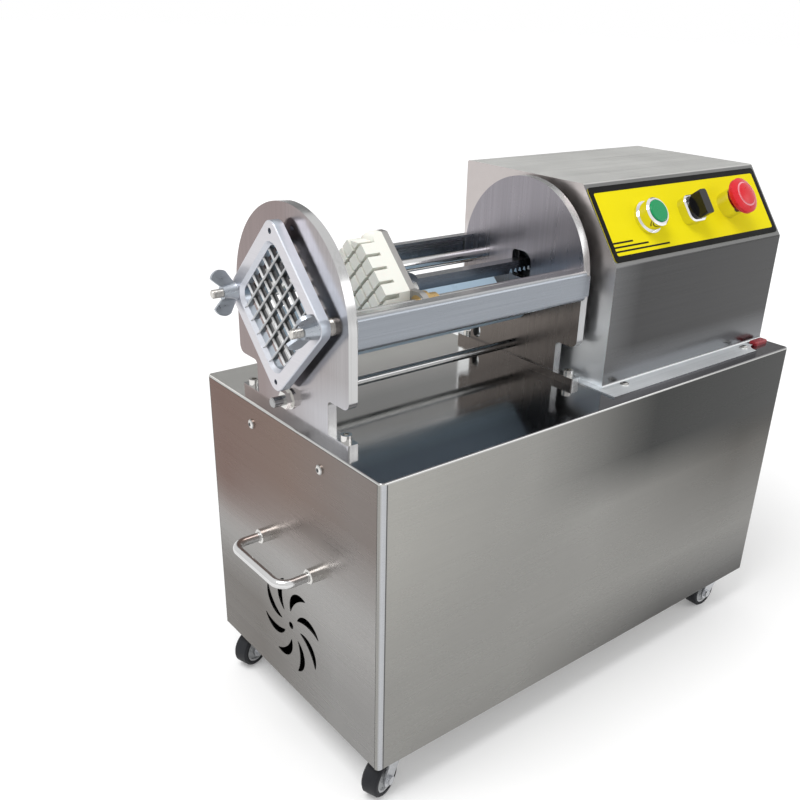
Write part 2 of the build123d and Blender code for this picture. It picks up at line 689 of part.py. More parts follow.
# Guide rods with spigots in both head plates
with BuildPart() as guide_rods:
    with BuildSketch(across(FRONT_PLATE_STATION)):
        with Locations((0, AXIS_HEIGHT)):
            with GridLocations(2 * GUIDE_ROD_SPREAD, 0, 2, 1):
                Circle(GUIDE_ROD_SPIGOT / 2)
    extrude(amount=REAR_PLATE_BACK - FRONT_PLATE_STATION)
    with BuildSketch(across(FRONT_PLATE_BACK)):
        with Locations((0, AXIS_HEIGHT)):
            with GridLocations(2 * GUIDE_ROD_SPREAD, 0, 2, 1):
                Circle(GUIDE_ROD_DIAMETER / 2)
    extrude(amount=RAIL_LENGTH)
guide_rods.part.label = "guide_rods"
export_step(guide_rods.part, "parts/guide_rods.step")

# Tie rod near the deck, seated in the rear plate, with a nut and washer on each side of the front plate
with BuildPart() as tie_rod:
    with BuildSketch(across(TIE_ROD_TIP)):
        with Locations((TIE_ROD_LATERAL, TIE_ROD_HEIGHT)):
            Circle(TIE_ROD_DIAMETER / 2)
    extrude(amount=REAR_PLATE_BACK - TIE_ROD_TIP)
    chamfer(tie_rod.faces().sort_by(Axis.X)[0].edges(), 1.0)
tie_rod.part.label = "tie_rod"
export_step(tie_rod.part, "parts/tie_rod.step")

with BuildPart() as tie_rod_nuts:
    for seat, direction in ((FRONT_PLATE_STATION, -1), (FRONT_PLATE_BACK, 1)):
        with BuildSketch(across(seat)):
            with Locations((TIE_ROD_LATERAL, TIE_ROD_HEIGHT)):
                Circle(TIE_WASHER / 2)
                Circle(TIE_ROD_DIAMETER / 2, mode=Mode.SUBTRACT)
        extrude(amount=direction * TIE_WASHER_THICKNESS)
        with BuildSketch(across(seat + direction * TIE_WASHER_THICKNESS)):
            with Locations((TIE_ROD_LATERAL, TIE_ROD_HEIGHT)):
                RegularPolygon(TIE_NUT_ACROSS / 2, 6, major_radius=False)
                Circle(TIE_ROD_DIAMETER / 2, mode=Mode.SUBTRACT)
        extrude(amount=direction * TIE_NUT_HEIGHT)
tie_rod_nuts.part.label = "tie_rod_nuts"
export_step(tie_rod_nuts.part, "parts/tie_rod_nuts.step")

# Knife frame with seats for both sets of knives, open to its back face
FRAME_BACK = FRAME_FRONT + FRAME_THICKNESS
with BuildPart() as knife_frame:
    with BuildSketch(diagonal(FRAME_FRONT)):
        RectangleRounded(FRAME_SIDE, FRAME_SIDE, FRAME_CORNER)
        RectangleRounded(WINDOW, WINDOW, FRAME_WINDOW_CORNER, mode=Mode.SUBTRACT)
        hole_step = FRAME_HOLE_RADIUS / sqrt(2)
        with Locations((hole_step, hole_step), (-hole_step, -hole_step)):
            Circle(FRAME_CORNER_HOLE / 2, mode=Mode.SUBTRACT)
        with Locations((hole_step, -hole_step), (-hole_step, hole_step)):
            Circle(STUD_DIAMETER / 2, mode=Mode.SUBTRACT)
    extrude(amount=FRAME_THICKNESS)
    front_face = knife_frame.faces().sort_by(Axis.X)[0]
    chamfer(front_face.inner_wires().sort_by(SortBy.LENGTH)[-1].edges(), FRAME_LEAD_IN)
    chamfer(front_face.outer_wire().edges(), FRAME_EDGE_BREAK)
    seat_length = WINDOW + 2 * KNIFE_SEAT + 2 * KNIFE_CLEARANCE
    with BuildSketch(diagonal(LONG_KNIFE_FRONT)):
        with Locations(*[(x, 0) for x in KNIFE_OFFSETS]):
            Rectangle(KNIFE_THICKNESS + 2 * KNIFE_CLEARANCE, seat_length)
    extrude(amount=FRAME_BACK - LONG_KNIFE_FRONT, mode=Mode.SUBTRACT)
    with BuildSketch(diagonal(CROSS_KNIFE_FRONT)):
        with Locations(*[(0, y) for y in KNIFE_OFFSETS]):
            Rectangle(seat_length, CROSS_KNIFE_THICKNESS + 2 * KNIFE_CLEARANCE)
    extrude(amount=FRAME_BACK - CROSS_KNIFE_FRONT, mode=Mode.SUBTRACT)
knife_frame.part.label = "knife_frame"
export_step(knife_frame.part, "parts/knife_frame.step")

# Knives: two sets of strips with ground front edges that slot into each other half way
KNIFE_LENGTH = WINDOW + 2 * KNIFE_SEAT
LAP = (CROSS_KNIFE_FRONT + LONG_KNIFE_BACK) / 2


def blade(width, height, depth, thickness, bevel):
    """One strip drawn on the plane of its edge, ground on both sides down to its front edge."""
    with BuildPart() as strip:
        Box(width, height, depth, align=(Align.CENTER, Align.CENTER, Align.MIN))
        front = strip.faces().sort_by(Axis.Z)[0]
        long_edges = front.edges().sort_by(SortBy.LENGTH)[-2:]
        chamfer(long_edges, (thickness - KNIFE_EDGE) / 2, bevel, reference=front)
    return strip.part


with BuildPart() as long_knives:
    with Locations(*[diagonal(LONG_KNIFE_FRONT) * Pos(x, 0, 0) for x in KNIFE_OFFSETS]):
        add(
            blade(
                KNIFE_THICKNESS,
                KNIFE_LENGTH,
                LONG_KNIFE_BACK - LONG_KNIFE_FRONT,
                KNIFE_THICKNESS,
                KNIFE_BEVEL,
            )
        )
    with BuildSketch(diagonal(LAP)):
        with Locations(*[(x, y) for x in KNIFE_OFFSETS for y in KNIFE_OFFSETS]):
            Rectangle(2 * KNIFE_THICKNESS, CROSS_KNIFE_THICKNESS + 2 * KNIFE_CLEARANCE)
    extrude(amount=LONG_KNIFE_BACK - LAP, mode=Mode.SUBTRACT)
long_knives.part.label = "long_knives"
export_step(long_knives.part, "parts/long_knives.step")

with BuildPart() as cross_knives:
    with Locations(*[diagonal(CROSS_KNIFE_FRONT) * Pos(0, y, 0) for y in KNIFE_OFFSETS]):
        add(
            blade(
                KNIFE_LENGTH,
                CROSS_KNIFE_THICKNESS,
                CROSS_KNIFE_BACK - CROSS_KNIFE_FRONT,
                CROSS_KNIFE_THICKNESS,
                CROSS_KNIFE_BEVEL,
            )
        )
    with BuildSketch(diagonal(CROSS_KNIFE_FRONT)):
        with Locations(*[(x, y) for x in KNIFE_OFFSETS for y in KNIFE_OFFSETS]):
            Rectangle(KNIFE_THICKNESS + 2 * KNIFE_CLEARANCE, 2 * CROSS_KNIFE_THICKNESS)
    extrude(amount=LAP - CROSS_KNIFE_FRONT, mode=Mode.SUBTRACT)
cross_knives.part.label = "cross_knives"
export_step(cross_knives.part, "parts/cross_knives.step")

# Collared studs that stand the knife frame off the front head plate
with BuildPart() as frame_studs:
    with BuildSketch(across(STUD_TIP)):
        with Locations((0, AXIS_HEIGHT)):
            with GridLocations(2 * FRAME_HOLE_RADIUS, 0, 2, 1):
                Circle(STUD_DIAMETER / 2)
    extrude(amount=FRONT_PLATE_BACK - STUD_TIP)
    chamfer(frame_studs.faces().sort_by(Axis.X)[0:2].edges(), 0.8)
    with BuildSketch(across(FRAME_BACK)):
        with Locations((0, AXIS_HEIGHT)):
            with GridLocations(2 * FRAME_HOLE_RADIUS, 0, 2, 1):
                Circle(STUD_COLLAR / 2)
    extrude(amount=FRONT_PLATE_STATION - FRAME_BACK)
frame_studs.part.label = "frame_studs"
export_step(frame_studs.part, "parts/frame_studs.step")


def wing_nut(lateral, turn):
    """Wing nut on a frame stud, its two wings turned by an angle about the stud."""
    seat = FRAME_FRONT - FACE_GAP
    frame = Plane(
        origin=(FRONT + seat, lateral, AXIS),
        x_dir=(0, cos(radians(turn)), sin(radians(turn))),
        z_dir=(-1, 0, 0),
    )
    with BuildPart() as nut:
        with BuildSketch(frame):
            Circle(NUT_HUB / 2)
        with BuildSketch(frame.offset(NUT_LENGTH)):
            Circle(NUT_NOSE / 2)
        loft()
        with BuildSketch(Plane(origin=frame.origin, x_dir=frame.x_dir, z_dir=frame.y_dir)) as wings:
            with BuildLine():
                Polyline(
                    (0, 0),
                    (NUT_HUB / 2 - 1, 0),
                    (NUT_SPAN / 2 - 1, -NUT_LENGTH * 0.55),
                )
                ThreePointArc(
                    (NUT_SPAN / 2 - 1, -NUT_LENGTH * 0.55),
                    (NUT_SPAN / 2 - 1.2, -NUT_LENGTH - NUT_RISE * 0.6),
                    (NUT_SPAN / 2 - 6.5, -NUT_LENGTH - NUT_RISE),
                )
                ThreePointArc(
                    (NUT_SPAN / 2 - 6.5, -NUT_LENGTH - NUT_RISE),
                    (NUT_NOSE / 2 + 2.5, -NUT_LENGTH - NUT_RISE * 0.45),
                    (NUT_NOSE / 2 - 1, -NUT_LENGTH),
                )
                Line((NUT_NOSE / 2 - 1, -NUT_LENGTH), (0, -NUT_LENGTH))
                mirror(about=Plane.YZ)
            make_face()
        extrude(amount=NUT_WING / 2, both=True)
        with BuildSketch(frame):
            Circle(STUD_DIAMETER / 2 + RUNNING_FIT)
        extrude(amount=NUT_LENGTH + NUT_RISE, mode=Mode.SUBTRACT)
    return nut.part


with BuildPart() as wing_nut_near:
    add(wing_nut(-FRAME_HOLE_RADIUS, NEAR_NUT_TURN))
wing_nut_near.part.label = "wing_nut_near"
export_step(wing_nut_near.part, "parts/wing_nut_near.step")

with BuildPart() as wing_nut_far:
    add(wing_nut(FRAME_HOLE_RADIUS, FAR_NUT_TURN))
wing_nut_far.part.label = "wing_nut_far"
export_step(wing_nut_far.part, "parts/wing_nut_far.step")

# Slotted pusher block: 6 x 6 pillars on a solid base
BASE_STATION = PUSHER_FRONT + SLOT_DEPTH
with BuildPart() as pusher_block:
    with BuildSketch(diagonal(PUSHER_FRONT)) as pillar_sketch:
        Rectangle(BLOCK_SIDE, BLOCK_SIDE)
        Rectangle(2 * PILLAR_TRUNCATION, 2 * PILLAR_TRUNCATION, rotation=45, mode=Mode.INTERSECT)
        fillet(pillar_sketch.vertices(), 1.5)
    extrude(amount=BLOCK_LENGTH)
    with BuildSketch(diagonal(BASE_STATION)):
        Rectangle(BLOCK_SIDE, BLOCK_SIDE)
        Rectangle(
            2 * PILLAR_TRUNCATION, 2 * BASE_TRUNCATION, rotation=-45, mode=Mode.INTERSECT
        )
    extrude(amount=BLOCK_LENGTH - SLOT_DEPTH)
    ramp_edges = (
        pusher_block.edges()
        .filter_by(Axis.Y)
        .filter_by_position(Axis.X, FRONT + BASE_STATION - 0.1, FRONT + BASE_STATION + 0.1)
    )
    ramp = [e for e in ramp_edges if abs(e.center().Z - AXIS) > PILLAR_TRUNCATION + 1]
    fillet(ramp, BASE_TRUNCATION - PILLAR_TRUNCATION - 0.5)
    with BuildSketch(diagonal(PUSHER_FRONT)):
        with Locations(*[(x, 0) for x in KNIFE_OFFSETS]):
            Rectangle(SLOT_WIDTH, 2 * WINDOW)
        with Locations(*[(0, y) for y in KNIFE_OFFSETS]):
            Rectangle(2 * WINDOW, SLOT_WIDTH)
    extrude(amount=SLOT_DEPTH, mode=Mode.SUBTRACT)
pusher_block.part.label = "pusher_block"
export_step(pusher_block.part, "parts/pusher_block.step")

# Steel back plate with an ear round each guide rod
with BuildPart() as back_plate:
    with BuildSketch(across(BACK_PLATE_STATION)) as back_sketch:
        with Locations((0, AXIS_HEIGHT)):
            Rectangle(BLOCK_SIDE, BLOCK_SIDE, rotation=45)
            Rectangle(2 * PILLAR_TRUNCATION, 2 * BASE_TRUNCATION, mode=Mode.INTERSECT)
            SlotCenterToCenter(2 * GUIDE_ROD_SPREAD, 2 * EAR_RADIUS)
            with GridLocations(2 * GUIDE_ROD_SPREAD, 0, 2, 1):
                Circle(BUSH_DIAMETER / 2, mode=Mode.SUBTRACT)
    extrude(amount=BACK_PLATE_THICKNESS)
back_plate.part.label = "back_plate"
export_step(back_plate.part, "parts/back_plate.step")

with BuildPart() as guide_bushes:
    with BuildSketch(across(BACK_PLATE_STATION)):
        with Locations((0, AXIS_HEIGHT)):
            with GridLocations(2 * GUIDE_ROD_SPREAD, 0, 2, 1):
                Circle(BUSH_DIAMETER / 2)
    extrude(amount=BUSH_LENGTH)
    with BuildSketch(across(CLEVIS_STATION)):
        with Locations((0, AXIS_HEIGHT)):
            with GridLocations(2 * GUIDE_ROD_SPREAD, 0, 2, 1):
                Circle(BUSH_FLANGE / 2)
    extrude(amount=BUSH_FLANGE_THICKNESS)
    with BuildSketch(across(BACK_PLATE_STATION)):
        with Locations((0, AXIS_HEIGHT)):
            with GridLocations(2 * GUIDE_ROD_SPREAD, 0, 2, 1):
                Circle(GUIDE_ROD_DIAMETER / 2 + RUNNING_FIT)
    extrude(amount=BUSH_LENGTH, mode=Mode.SUBTRACT)
guide_bushes.part.label = "guide_bushes"
export_step(guide_bushes.part, "parts/guide_bushes.step")

# Clevis on the back plate, holding the front end of the push bar between its ears
CLEVIS_HALF = BAR_SIDE / 2 + CLEVIS_EAR
with BuildPart() as clevis:
    with BuildSketch(across(CLEVIS_STATION)):
        with Locations((0, AXIS_HEIGHT)):
            RectangleRounded(CLEVIS_BASE, CLEVIS_BASE, 4.0)
    extrude(amount=CLEVIS_BASE_THICKNESS)
    with BuildSketch(upright(CLEVIS_HALF)):
        with Locations((CLEVIS_STATION, AXIS_HEIGHT)):
            Rectangle(CLEVIS_LENGTH - CLEVIS_EAR_HEIGHT / 2, CLEVIS_EAR_HEIGHT, align=(Align.MIN, Align.CENTER))
        with Locations((CLEVIS_STATION + CLEVIS_LENGTH - CLEVIS_EAR_HEIGHT / 2, AXIS_HEIGHT)):
            Circle(CLEVIS_EAR_HEIGHT / 2)
        with Locations((CLEVIS_STATION + CLEVIS_BOLT_STATION, AXIS_HEIGHT)):
            Circle(CLEVIS_BOLT / 2, mode=Mode.SUBTRACT)
    extrude(amount=2 * CLEVIS_HALF)
    with BuildSketch(upright(BAR_SIDE / 2)):
        with Locations((CLEVIS_STATION + CLEVIS_BASE_THICKNESS, AXIS_HEIGHT)):
            Rectangle(CLEVIS_LENGTH, 2 * CLEVIS_EAR_HEIGHT, align=(Align.MIN, Align.CENTER))
    extrude(amount=BAR_SIDE, mode=Mode.SUBTRACT)
clevis.part.label = "clevis"
export_step(clevis.part, "parts/clevis.step")

with BuildPart() as clevis_bolt:
    bolt_at = (CLEVIS_STATION + CLEVIS_BOLT_STATION, AXIS_HEIGHT)
    with BuildSketch(upright(CLEVIS_HALF)):
        with Locations(bolt_at):
            Circle(CLEVIS_BOLT / 2)
    extrude(amount=2 * CLEVIS_HALF)
    with BuildSketch(upright(-CLEVIS_HALF)):
        with Locations(bolt_at):
            RegularPolygon(CLEVIS_BOLT * 0.81, 6, major_radius=False)
    extrude(amount=CLEVIS_BOLT * 0.65)
    with BuildSketch(upright(CLEVIS_HALF)):
        with Locations(bolt_at):
            RegularPolygon(CLEVIS_BOLT * 0.81, 6, major_radius=False)
    extrude(amount=-CLEVIS_BOLT * 0.8)
clevis_bolt.part.label = "clevis_bolt"
export_step(clevis_bolt.part, "parts/clevis_bolt.step")

# Push bar; its rear part is a rack with the teeth underneath
PITCH = MODULE * pi
BAR_START = CLEVIS_STATION + CLEVIS_BASE_THICKNESS
BAR_BOTTOM = AXIS_HEIGHT - BAR_SIDE / 2
SLOPE = tan(radians(PRESSURE_ANGLE))
ROOT_DEPTH = 2.25 * MODULE + TOOTH_TIP_EASE
GAP_HALF_TIP = PITCH / 4 + MODULE * SLOPE + BACKLASH / 4
GAP_HALF_ROOT = GAP_HALF_TIP - ROOT_DEPTH * SLOPE
GAPS_AHEAD = int((BACK_TRAVEL + 3 * PITCH) / PITCH)
GAPS_BEHIND = int((BAR_END - PINION_STATION - PITCH) / PITCH)
with BuildPart() as rack_bar:
    with BuildSketch(upright(BAR_SIDE / 2)):
        with Locations((BAR_START, AXIS_HEIGHT)):
            Rectangle(BAR_END - BAR_START, BAR_SIDE, align=(Align.MIN, Align.CENTER))
        with Locations(bolt_at):
            Circle(CLEVIS_BOLT / 2, mode=Mode.SUBTRACT)
        with Locations(
            *[(PINION_STATION + i * PITCH, BAR_BOTTOM) for i in range(-GAPS_AHEAD, GAPS_BEHIND + 1)]
        ):
            with BuildSketch(mode=Mode.PRIVATE) as tooth_gap:
                with BuildLine():
                    Polyline(
                        (-GAP_HALF_TIP, 0),
                        (-GAP_HALF_ROOT, ROOT_DEPTH),
                        (GAP_HALF_ROOT, ROOT_DEPTH),
                        (GAP_HALF_TIP, 0),
                        close=True,
                    )
                make_face()
            add(tooth_gap.sketch, mode=Mode.SUBTRACT)
    extrude(amount=BAR_SIDE)
rack_bar.part.label = "rack_bar"
export_step(rack_bar.part, "parts/rack_bar.step")

# Pinion under the rack, one tooth pointing up at rest
BASE_RADIUS = PITCH_RADIUS * cos(radians(PRESSURE_ANGLE))
TIP_RADIUS = PITCH_RADIUS + MODULE - TOOTH_TIP_EASE
ROOT_RADIUS = PITCH_RADIUS - 1.25 * MODULE
INVOLUTE = tan(radians(PRESSURE_ANGLE)) - radians(PRESSURE_ANGLE)
HALF_TOOTH = pi / (2 * PINION_TEETH) - BACKLASH / (4 * PITCH_RADIUS) + INVOLUTE


def flank(radius, hand):
    """Point of the involute tooth flank at a radius, the tooth being centred on local y."""
    roll = sqrt(max(0.0, (radius / BASE_RADIUS) ** 2 - 1))
    angle = HALF_TOOTH - (roll - asin(roll / hypot(1, roll)))
    return (hand * radius * sin(angle), radius * cos(angle))


GEARBOX_BOSS_FACE = GEARBOX_LATERAL - GEARBOX_BOSS_LENGTH
with BuildPart() as pinion:
    with BuildSketch(upright(PINION_WIDTH / 2)):
        with Locations((PINION_STATION, PINION_HEIGHT)):
            Circle(ROOT_RADIUS)
            flank_radii = [BASE_RADIUS + (TIP_RADIUS - BASE_RADIUS) * i / 2 for i in range(3)]
            with BuildSketch(mode=Mode.PRIVATE) as tooth:
                with BuildLine():
                    right = ThreePointArc(*[flank(r, 1) for r in flank_radii])
                    left = ThreePointArc(*[flank(r, -1) for r in flank_radii])
                    RadiusArc(left @ 1, right @ 1, TIP_RADIUS)
                    foot_scale = (ROOT_RADIUS - 0.5) / BASE_RADIUS
                    Polyline(right @ 0, (right @ 0) * foot_scale, (left @ 0) * foot_scale, left @ 0)
                make_face()
            with PolarLocations(0, PINION_TEETH):
                add(tooth.sketch)
    extrude(amount=PINION_WIDTH)
    with BuildSketch(upright(PINION_WIDTH / 2)):
        with Locations((PINION_STATION, PINION_HEIGHT)):
            Circle(PINION_SHAFT / 2)
    extrude(amount=-(GEARBOX_LATERAL + SHAFT_SEAT - PINION_WIDTH / 2))
    with BuildSketch(upright(-PINION_WIDTH / 2)):
        with Locations((PINION_STATION, PINION_HEIGHT)):
            Circle(PINION_SHAFT / 2 + 2)
    extrude(amount=3)
pinion.part.label = "pinion"
export_step(pinion.part, "parts/pinion.step")

# Worm gearbox on its mounting plate, with the motor hung below through the deck
with BuildPart() as gearbox_mount:
    with BuildSketch(level(0)):
        with Locations((MOTOR_STATION - 4, MOTOR_LATERAL)):
            RectangleRounded(MOUNT_LENGTH, MOUNT_WIDTH, 8)
        with Locations((MOTOR_STATION, MOTOR_LATERAL)):
            Circle(MOTOR_SHAFT, mode=Mode.SUBTRACT)
    extrude(amount=MOUNT_THICKNESS)
gearbox_mount.part.label = "gearbox_mount"
export_step(gearbox_mount.part, "parts/gearbox_mount.step")

GEARBOX_START = MOTOR_STATION + 26 - GEARBOX_LENGTH
with BuildPart() as gearbox:
    with BuildSketch(level(MOUNT_THICKNESS)):
        with Locations((GEARBOX_START + GEARBOX_LENGTH / 2, MOTOR_LATERAL)):
            RectangleRounded(GEARBOX_LENGTH, GEARBOX_WIDTH, 10)
        with Locations((MOTOR_STATION, MOTOR_LATERAL)):
            Circle(MOTOR_SHAFT / 2 + 0.5, mode=Mode.SUBTRACT)
    extrude(amount=GEARBOX_HEIGHT)
    fillet(gearbox.faces().sort_by(Axis.Z)[-1].outer_wire().edges(), 4)
    with BuildSketch(upright(GEARBOX_LATERAL)):
        with Locations((PINION_STATION, PINION_HEIGHT)):
            Circle(GEARBOX_BOSS / 2)
    extrude(amount=GEARBOX_BOSS_LENGTH)
    with BuildSketch(upright(GEARBOX_LATERAL - GEARBOX_BOSS_LENGTH)):
        with Locations((PINION_STATION, PINION_HEIGHT)):
            Circle(PINION_SHAFT / 2 + RUNNING_FIT)
    extrude(amount=-(SHAFT_SEAT + GEARBOX_BOSS_LENGTH + 1), mode=Mode.SUBTRACT)
    with BuildSketch(upright(GEARBOX_LATERAL + GEARBOX_WIDTH)):
        with Locations((PINION_STATION, PINION_HEIGHT)):
            Circle(GEARBOX_BOSS / 2)
    extrude(amount=-GEARBOX_BOSS_LENGTH)
gearbox.part.label = "gearbox"
export_step(gearbox.part, "parts/gearbox.step")

with BuildPart() as motor:
    with BuildSketch(level(0)):
        with Locations((MOTOR_STATION, MOTOR_LATERAL)):
            Circle(MOTOR_FLANGE / 2)
    extrude(amount=-MOTOR_FLANGE_THICKNESS)
    with BuildSketch(level(-MOTOR_FLANGE_THICKNESS)):
        with Locations((MOTOR_STATION, MOTOR_LATERAL)):
            Circle(MOTOR_DIAMETER / 2 - MOTOR_RIB)
            with PolarLocations(MOTOR_DIAMETER / 2 - MOTOR_RIB, MOTOR_RIBS):
                Rectangle(2 * MOTOR_RIB, MOTOR_RIB)
    extrude(amount=-MOTOR_LENGTH)
    with BuildSketch(level(-MOTOR_FLANGE_THICKNESS - MOTOR_LENGTH)):
        with Locations((MOTOR_STATION, MOTOR_LATERAL)):
            Circle(MOTOR_DIAMETER / 2)
    extrude(amount=-18, taper=12)
    with BuildSketch(level(0)):
        with Locations((MOTOR_STATION, MOTOR_LATERAL)):
            Circle(MOTOR_SHAFT / 2)
    extrude(amount=MOUNT_THICKNESS + 30)
motor.part.label = "motor"
export_step(motor.part, "parts/motor.step")

# Guide block that the push bar slides through, with an arm that keeps the rack down on the pinion
with BuildPart() as bar_guide:
    with BuildSketch(upright(GUIDE_WIDTH / 2)):
        with BuildLine():
            top = AXIS_HEIGHT + BAR_SIDE / 2 + GUIDE_TOP
            arm_under = AXIS_HEIGHT + BAR_SIDE / 2 + RUNNING_FIT
            FilletPolyline(
                (GUIDE_STATION, 0),
                (GUIDE_STATION, top),
                (GUIDE_STATION + GUIDE_LENGTH + GUIDE_ARM, top),
                (GUIDE_STATION + GUIDE_LENGTH + GUIDE_ARM, arm_under),
                (GUIDE_STATION + GUIDE_LENGTH, arm_under),
                (GUIDE_STATION + GUIDE_LENGTH, 0),
                close=True,
                radius=1.0,
            )
        make_face()
    extrude(amount=GUIDE_WIDTH)
    with BuildSketch(level(0)):
        with Locations((GUIDE_STATION - 4, 0)):
            Rectangle(GUIDE_LENGTH + 4, GUIDE_FOOT, align=(Align.MIN, Align.CENTER))
    extrude(amount=GUIDE_FOOT_THICKNESS)
    with BuildSketch(across(GUIDE_STATION)):
        with Locations((0, AXIS_HEIGHT)):
            Rectangle(BAR_SIDE + 2 * RUNNING_FIT, BAR_SIDE + 2 * RUNNING_FIT)
    extrude(amount=GUIDE_LENGTH + 2, mode=Mode.SUBTRACT)
    for hand in (-1, 1):
        with BuildSketch(across(GUIDE_STATION + GUIDE_LENGTH)):
            with Locations((hand * GUIDE_WIDTH / 2, AXIS_HEIGHT)):
                Rectangle(GUIDE_WIDTH - BAR_SIDE - 8, 60)
        extrude(amount=GUIDE_ARM, mode=Mode.SUBTRACT)
bar_guide.part.label = "bar_guide"
export_step(bar_guide.part, "parts/bar_guide.step")

# Angle with the two switches that end the stroke
SWITCH_LATERAL = 24.0
SWITCH_START = 428.0
SWITCH_END = 588.0
with BuildPart() as switch_bracket:
    with BuildSketch(across(SWITCH_START)):
        with BuildLine():
            Polyline((-SWITCH_LATERAL - 25, 1), (-SWITCH_LATERAL - 1, 1), (-SWITCH_LATERAL - 1, AXIS_HEIGHT + 14))
        trace(line_width=2)
    extrude(amount=SWITCH_END - SWITCH_START)
switch_bracket.part.label = "switch_bracket"
export_step(switch_bracket.part, "parts/switch_bracket.step")

with BuildPart() as limit_switches:
    with BuildSketch(level(AXIS_HEIGHT - 8)):
        with Locations((SWITCH_START + 15, -SWITCH_LATERAL), (SWITCH_END - 15, -SWITCH_LATERAL)):
            Rectangle(28, 11, align=(Align.CENTER, Align.MIN))
    extrude(amount=16)
    with BuildSketch(level(AXIS_HEIGHT - 2)):
        with Locations((SWITCH_START + 18, -SWITCH_LATERAL + 11), (SWITCH_END - 18, -SWITCH_LATERAL + 11)):
            Rectangle(3, 3, align=(Align.CENTER, Align.MIN))
    extrude(amount=4)
limit_switches.part.label = "limit_switches"
export_step(limit_switches.part, "parts/limit_switches.step")

# Housing: folded sheet with a sloping control face, flanged to the deck
HOUSING_TOP = PLATE_APEX
LABEL_PLANE = Plane(
    origin=(
        FRONT + LABEL_START + LABEL_LENGTH / 2,
        -(HOUSING_HALF + HOUSING_RIDGE) / 2,
        DECK + (HOUSING_KNEE + HOUSING_TOP) / 2,
    ),
    x_dir=(1, 0, 0),
    z_dir=(0, -(HOUSING_TOP - HOUSING_KNEE), HOUSING_HALF - HOUSING_RIDGE),
)
BUTTON_SPOTS = [(s - LABEL_START - LABEL_LENGTH / 2, 0) for s in BUTTON_STATIONS]
with BuildPart() as housing_shell:
    with BuildSketch(across(HOUSING_START)):
        with BuildLine():
            FilletPolyline(
                (-HOUSING_HALF - HOUSING_FLANGE, SHEET),
                (-HOUSING_HALF, SHEET),
                (-HOUSING_HALF, HOUSING_KNEE),
                (-HOUSING_RIDGE, HOUSING_TOP),
                (HOUSING_HALF, HOUSING_TOP),
                (HOUSING_HALF, SHEET),
                (HOUSING_HALF + HOUSING_FLANGE, SHEET),
                radius=HOUSING_BEND,
            )
            offset(amount=SHEET, side=Side.RIGHT)
        make_face()
    extrude(amount=HOUSING_END - HOUSING_START)
    for end in (HOUSING_START, HOUSING_END - SHEET):
        with BuildSketch(across(end)):
            with BuildLine():
                FilletPolyline(
                    (-HOUSING_HALF, 0),
                    (-HOUSING_HALF, HOUSING_KNEE),
                    (-HOUSING_RIDGE, HOUSING_TOP),
                    (HOUSING_HALF, HOUSING_TOP),
                    (HOUSING_HALF, 0),
                    close=True,
                    radius=HOUSING_BEND - 0.5,
                )
            make_face()
        extrude(amount=SHEET)
    with BuildSketch(across(HOUSING_START)):
        with Locations((0, AXIS_HEIGHT)):
            RectangleRounded(HOUSING_OPENING, HOUSING_OPENING, 4)
    extrude(amount=SHEET, mode=Mode.SUBTRACT)
    with BuildSketch(level(0)):
        with Locations((HOUSING_START + SHEET, 0)):
            Rectangle(HOUSING_LIP + SHEET, 2 * (HOUSING_HALF + HOUSING_FLANGE), align=(Align.MAX, Align.CENTER))
    extrude(amount=SHEET)
    with BuildSketch(level(0)):
        for hand in (-1, 1):
            with Locations((HOUSING_END + 1, hand * (HOUSING_HALF + HOUSING_BEND + HOUSING_FLANGE / 2))):
                Rectangle(
                    HOUSING_END + 1 - HOUSING_FLANGE_END, HOUSING_FLANGE, align=(Align.MAX, Align.CENTER)
                )
            with Locations((HOUSING_FLANGE_END, hand * (HOUSING_HALF + HOUSING_FLANGE))):
                Circle(HOUSING_RELIEF)
        with Locations(*HOUSING_SCREWS):
            Circle(SCREW_DIAMETER / 2)
    extrude(amount=SHEET + 1, mode=Mode.SUBTRACT)
    with BuildSketch(LABEL_PLANE):
        with Locations(*BUTTON_SPOTS):
            Circle(BARREL_DIAMETER / 2)
    extrude(amount=3 * SHEET, both=True, mode=Mode.SUBTRACT)
housing_shell.part.label = "housing_shell"
export_step(housing_shell.part, "parts/housing_shell.step")

with BuildPart() as control_label:
    with BuildSketch(LABEL_PLANE):
        RectangleRounded(LABEL_LENGTH, LABEL_WIDTH, LABEL_CORNER)
        with Locations(*BUTTON_SPOTS):
            Circle(BARREL_DIAMETER / 2, mode=Mode.SUBTRACT)
    extrude(amount=LABEL_THICKNESS)
control_label.part.label = "control_label"
export_step(control_label.part, "parts/control_label.step")

# Green start button in its ring
FACE = LABEL_PLANE.offset(LABEL_THICKNESS)
with BuildPart() as start_bezel:
    with BuildSketch(FACE):
        with Locations(BUTTON_SPOTS[0]):
            Circle(BEZEL_DIAMETER / 2)
    extrude(amount=BEZEL_HEIGHT)
    chamfer(start_bezel.faces().sort_by(Axis(FACE.origin, FACE.z_dir))[-1].edges(), BEZEL_CHAMFER)
    with BuildSketch(FACE):
        with Locations(BUTTON_SPOTS[0]):
            Circle(BEZEL_BASE / 2)
    extrude(amount=BEZEL_BASE_HEIGHT)
    with BuildSketch(FACE):
        with Locations(BUTTON_SPOTS[0]):
            Circle(BARREL_DIAMETER / 2)
    extrude(amount=-BARREL_LENGTH)
    with BuildSketch(FACE.offset(-BARREL_LENGTH)):
        with Locations(BUTTON_SPOTS[0]):
            Circle(BUTTON_STEM / 2 + RUNNING_FIT)
    extrude(amount=BARREL_LENGTH + BEZEL_HEIGHT, mode=Mode.SUBTRACT)
    with BuildSketch(FACE.offset(BEZEL_HEIGHT)):
        with Locations(BUTTON_SPOTS[0]):
            Circle(BUTTON_DIAMETER / 2 + 0.5)
    extrude(amount=-(BUTTON_STROKE + 2), mode=Mode.SUBTRACT)
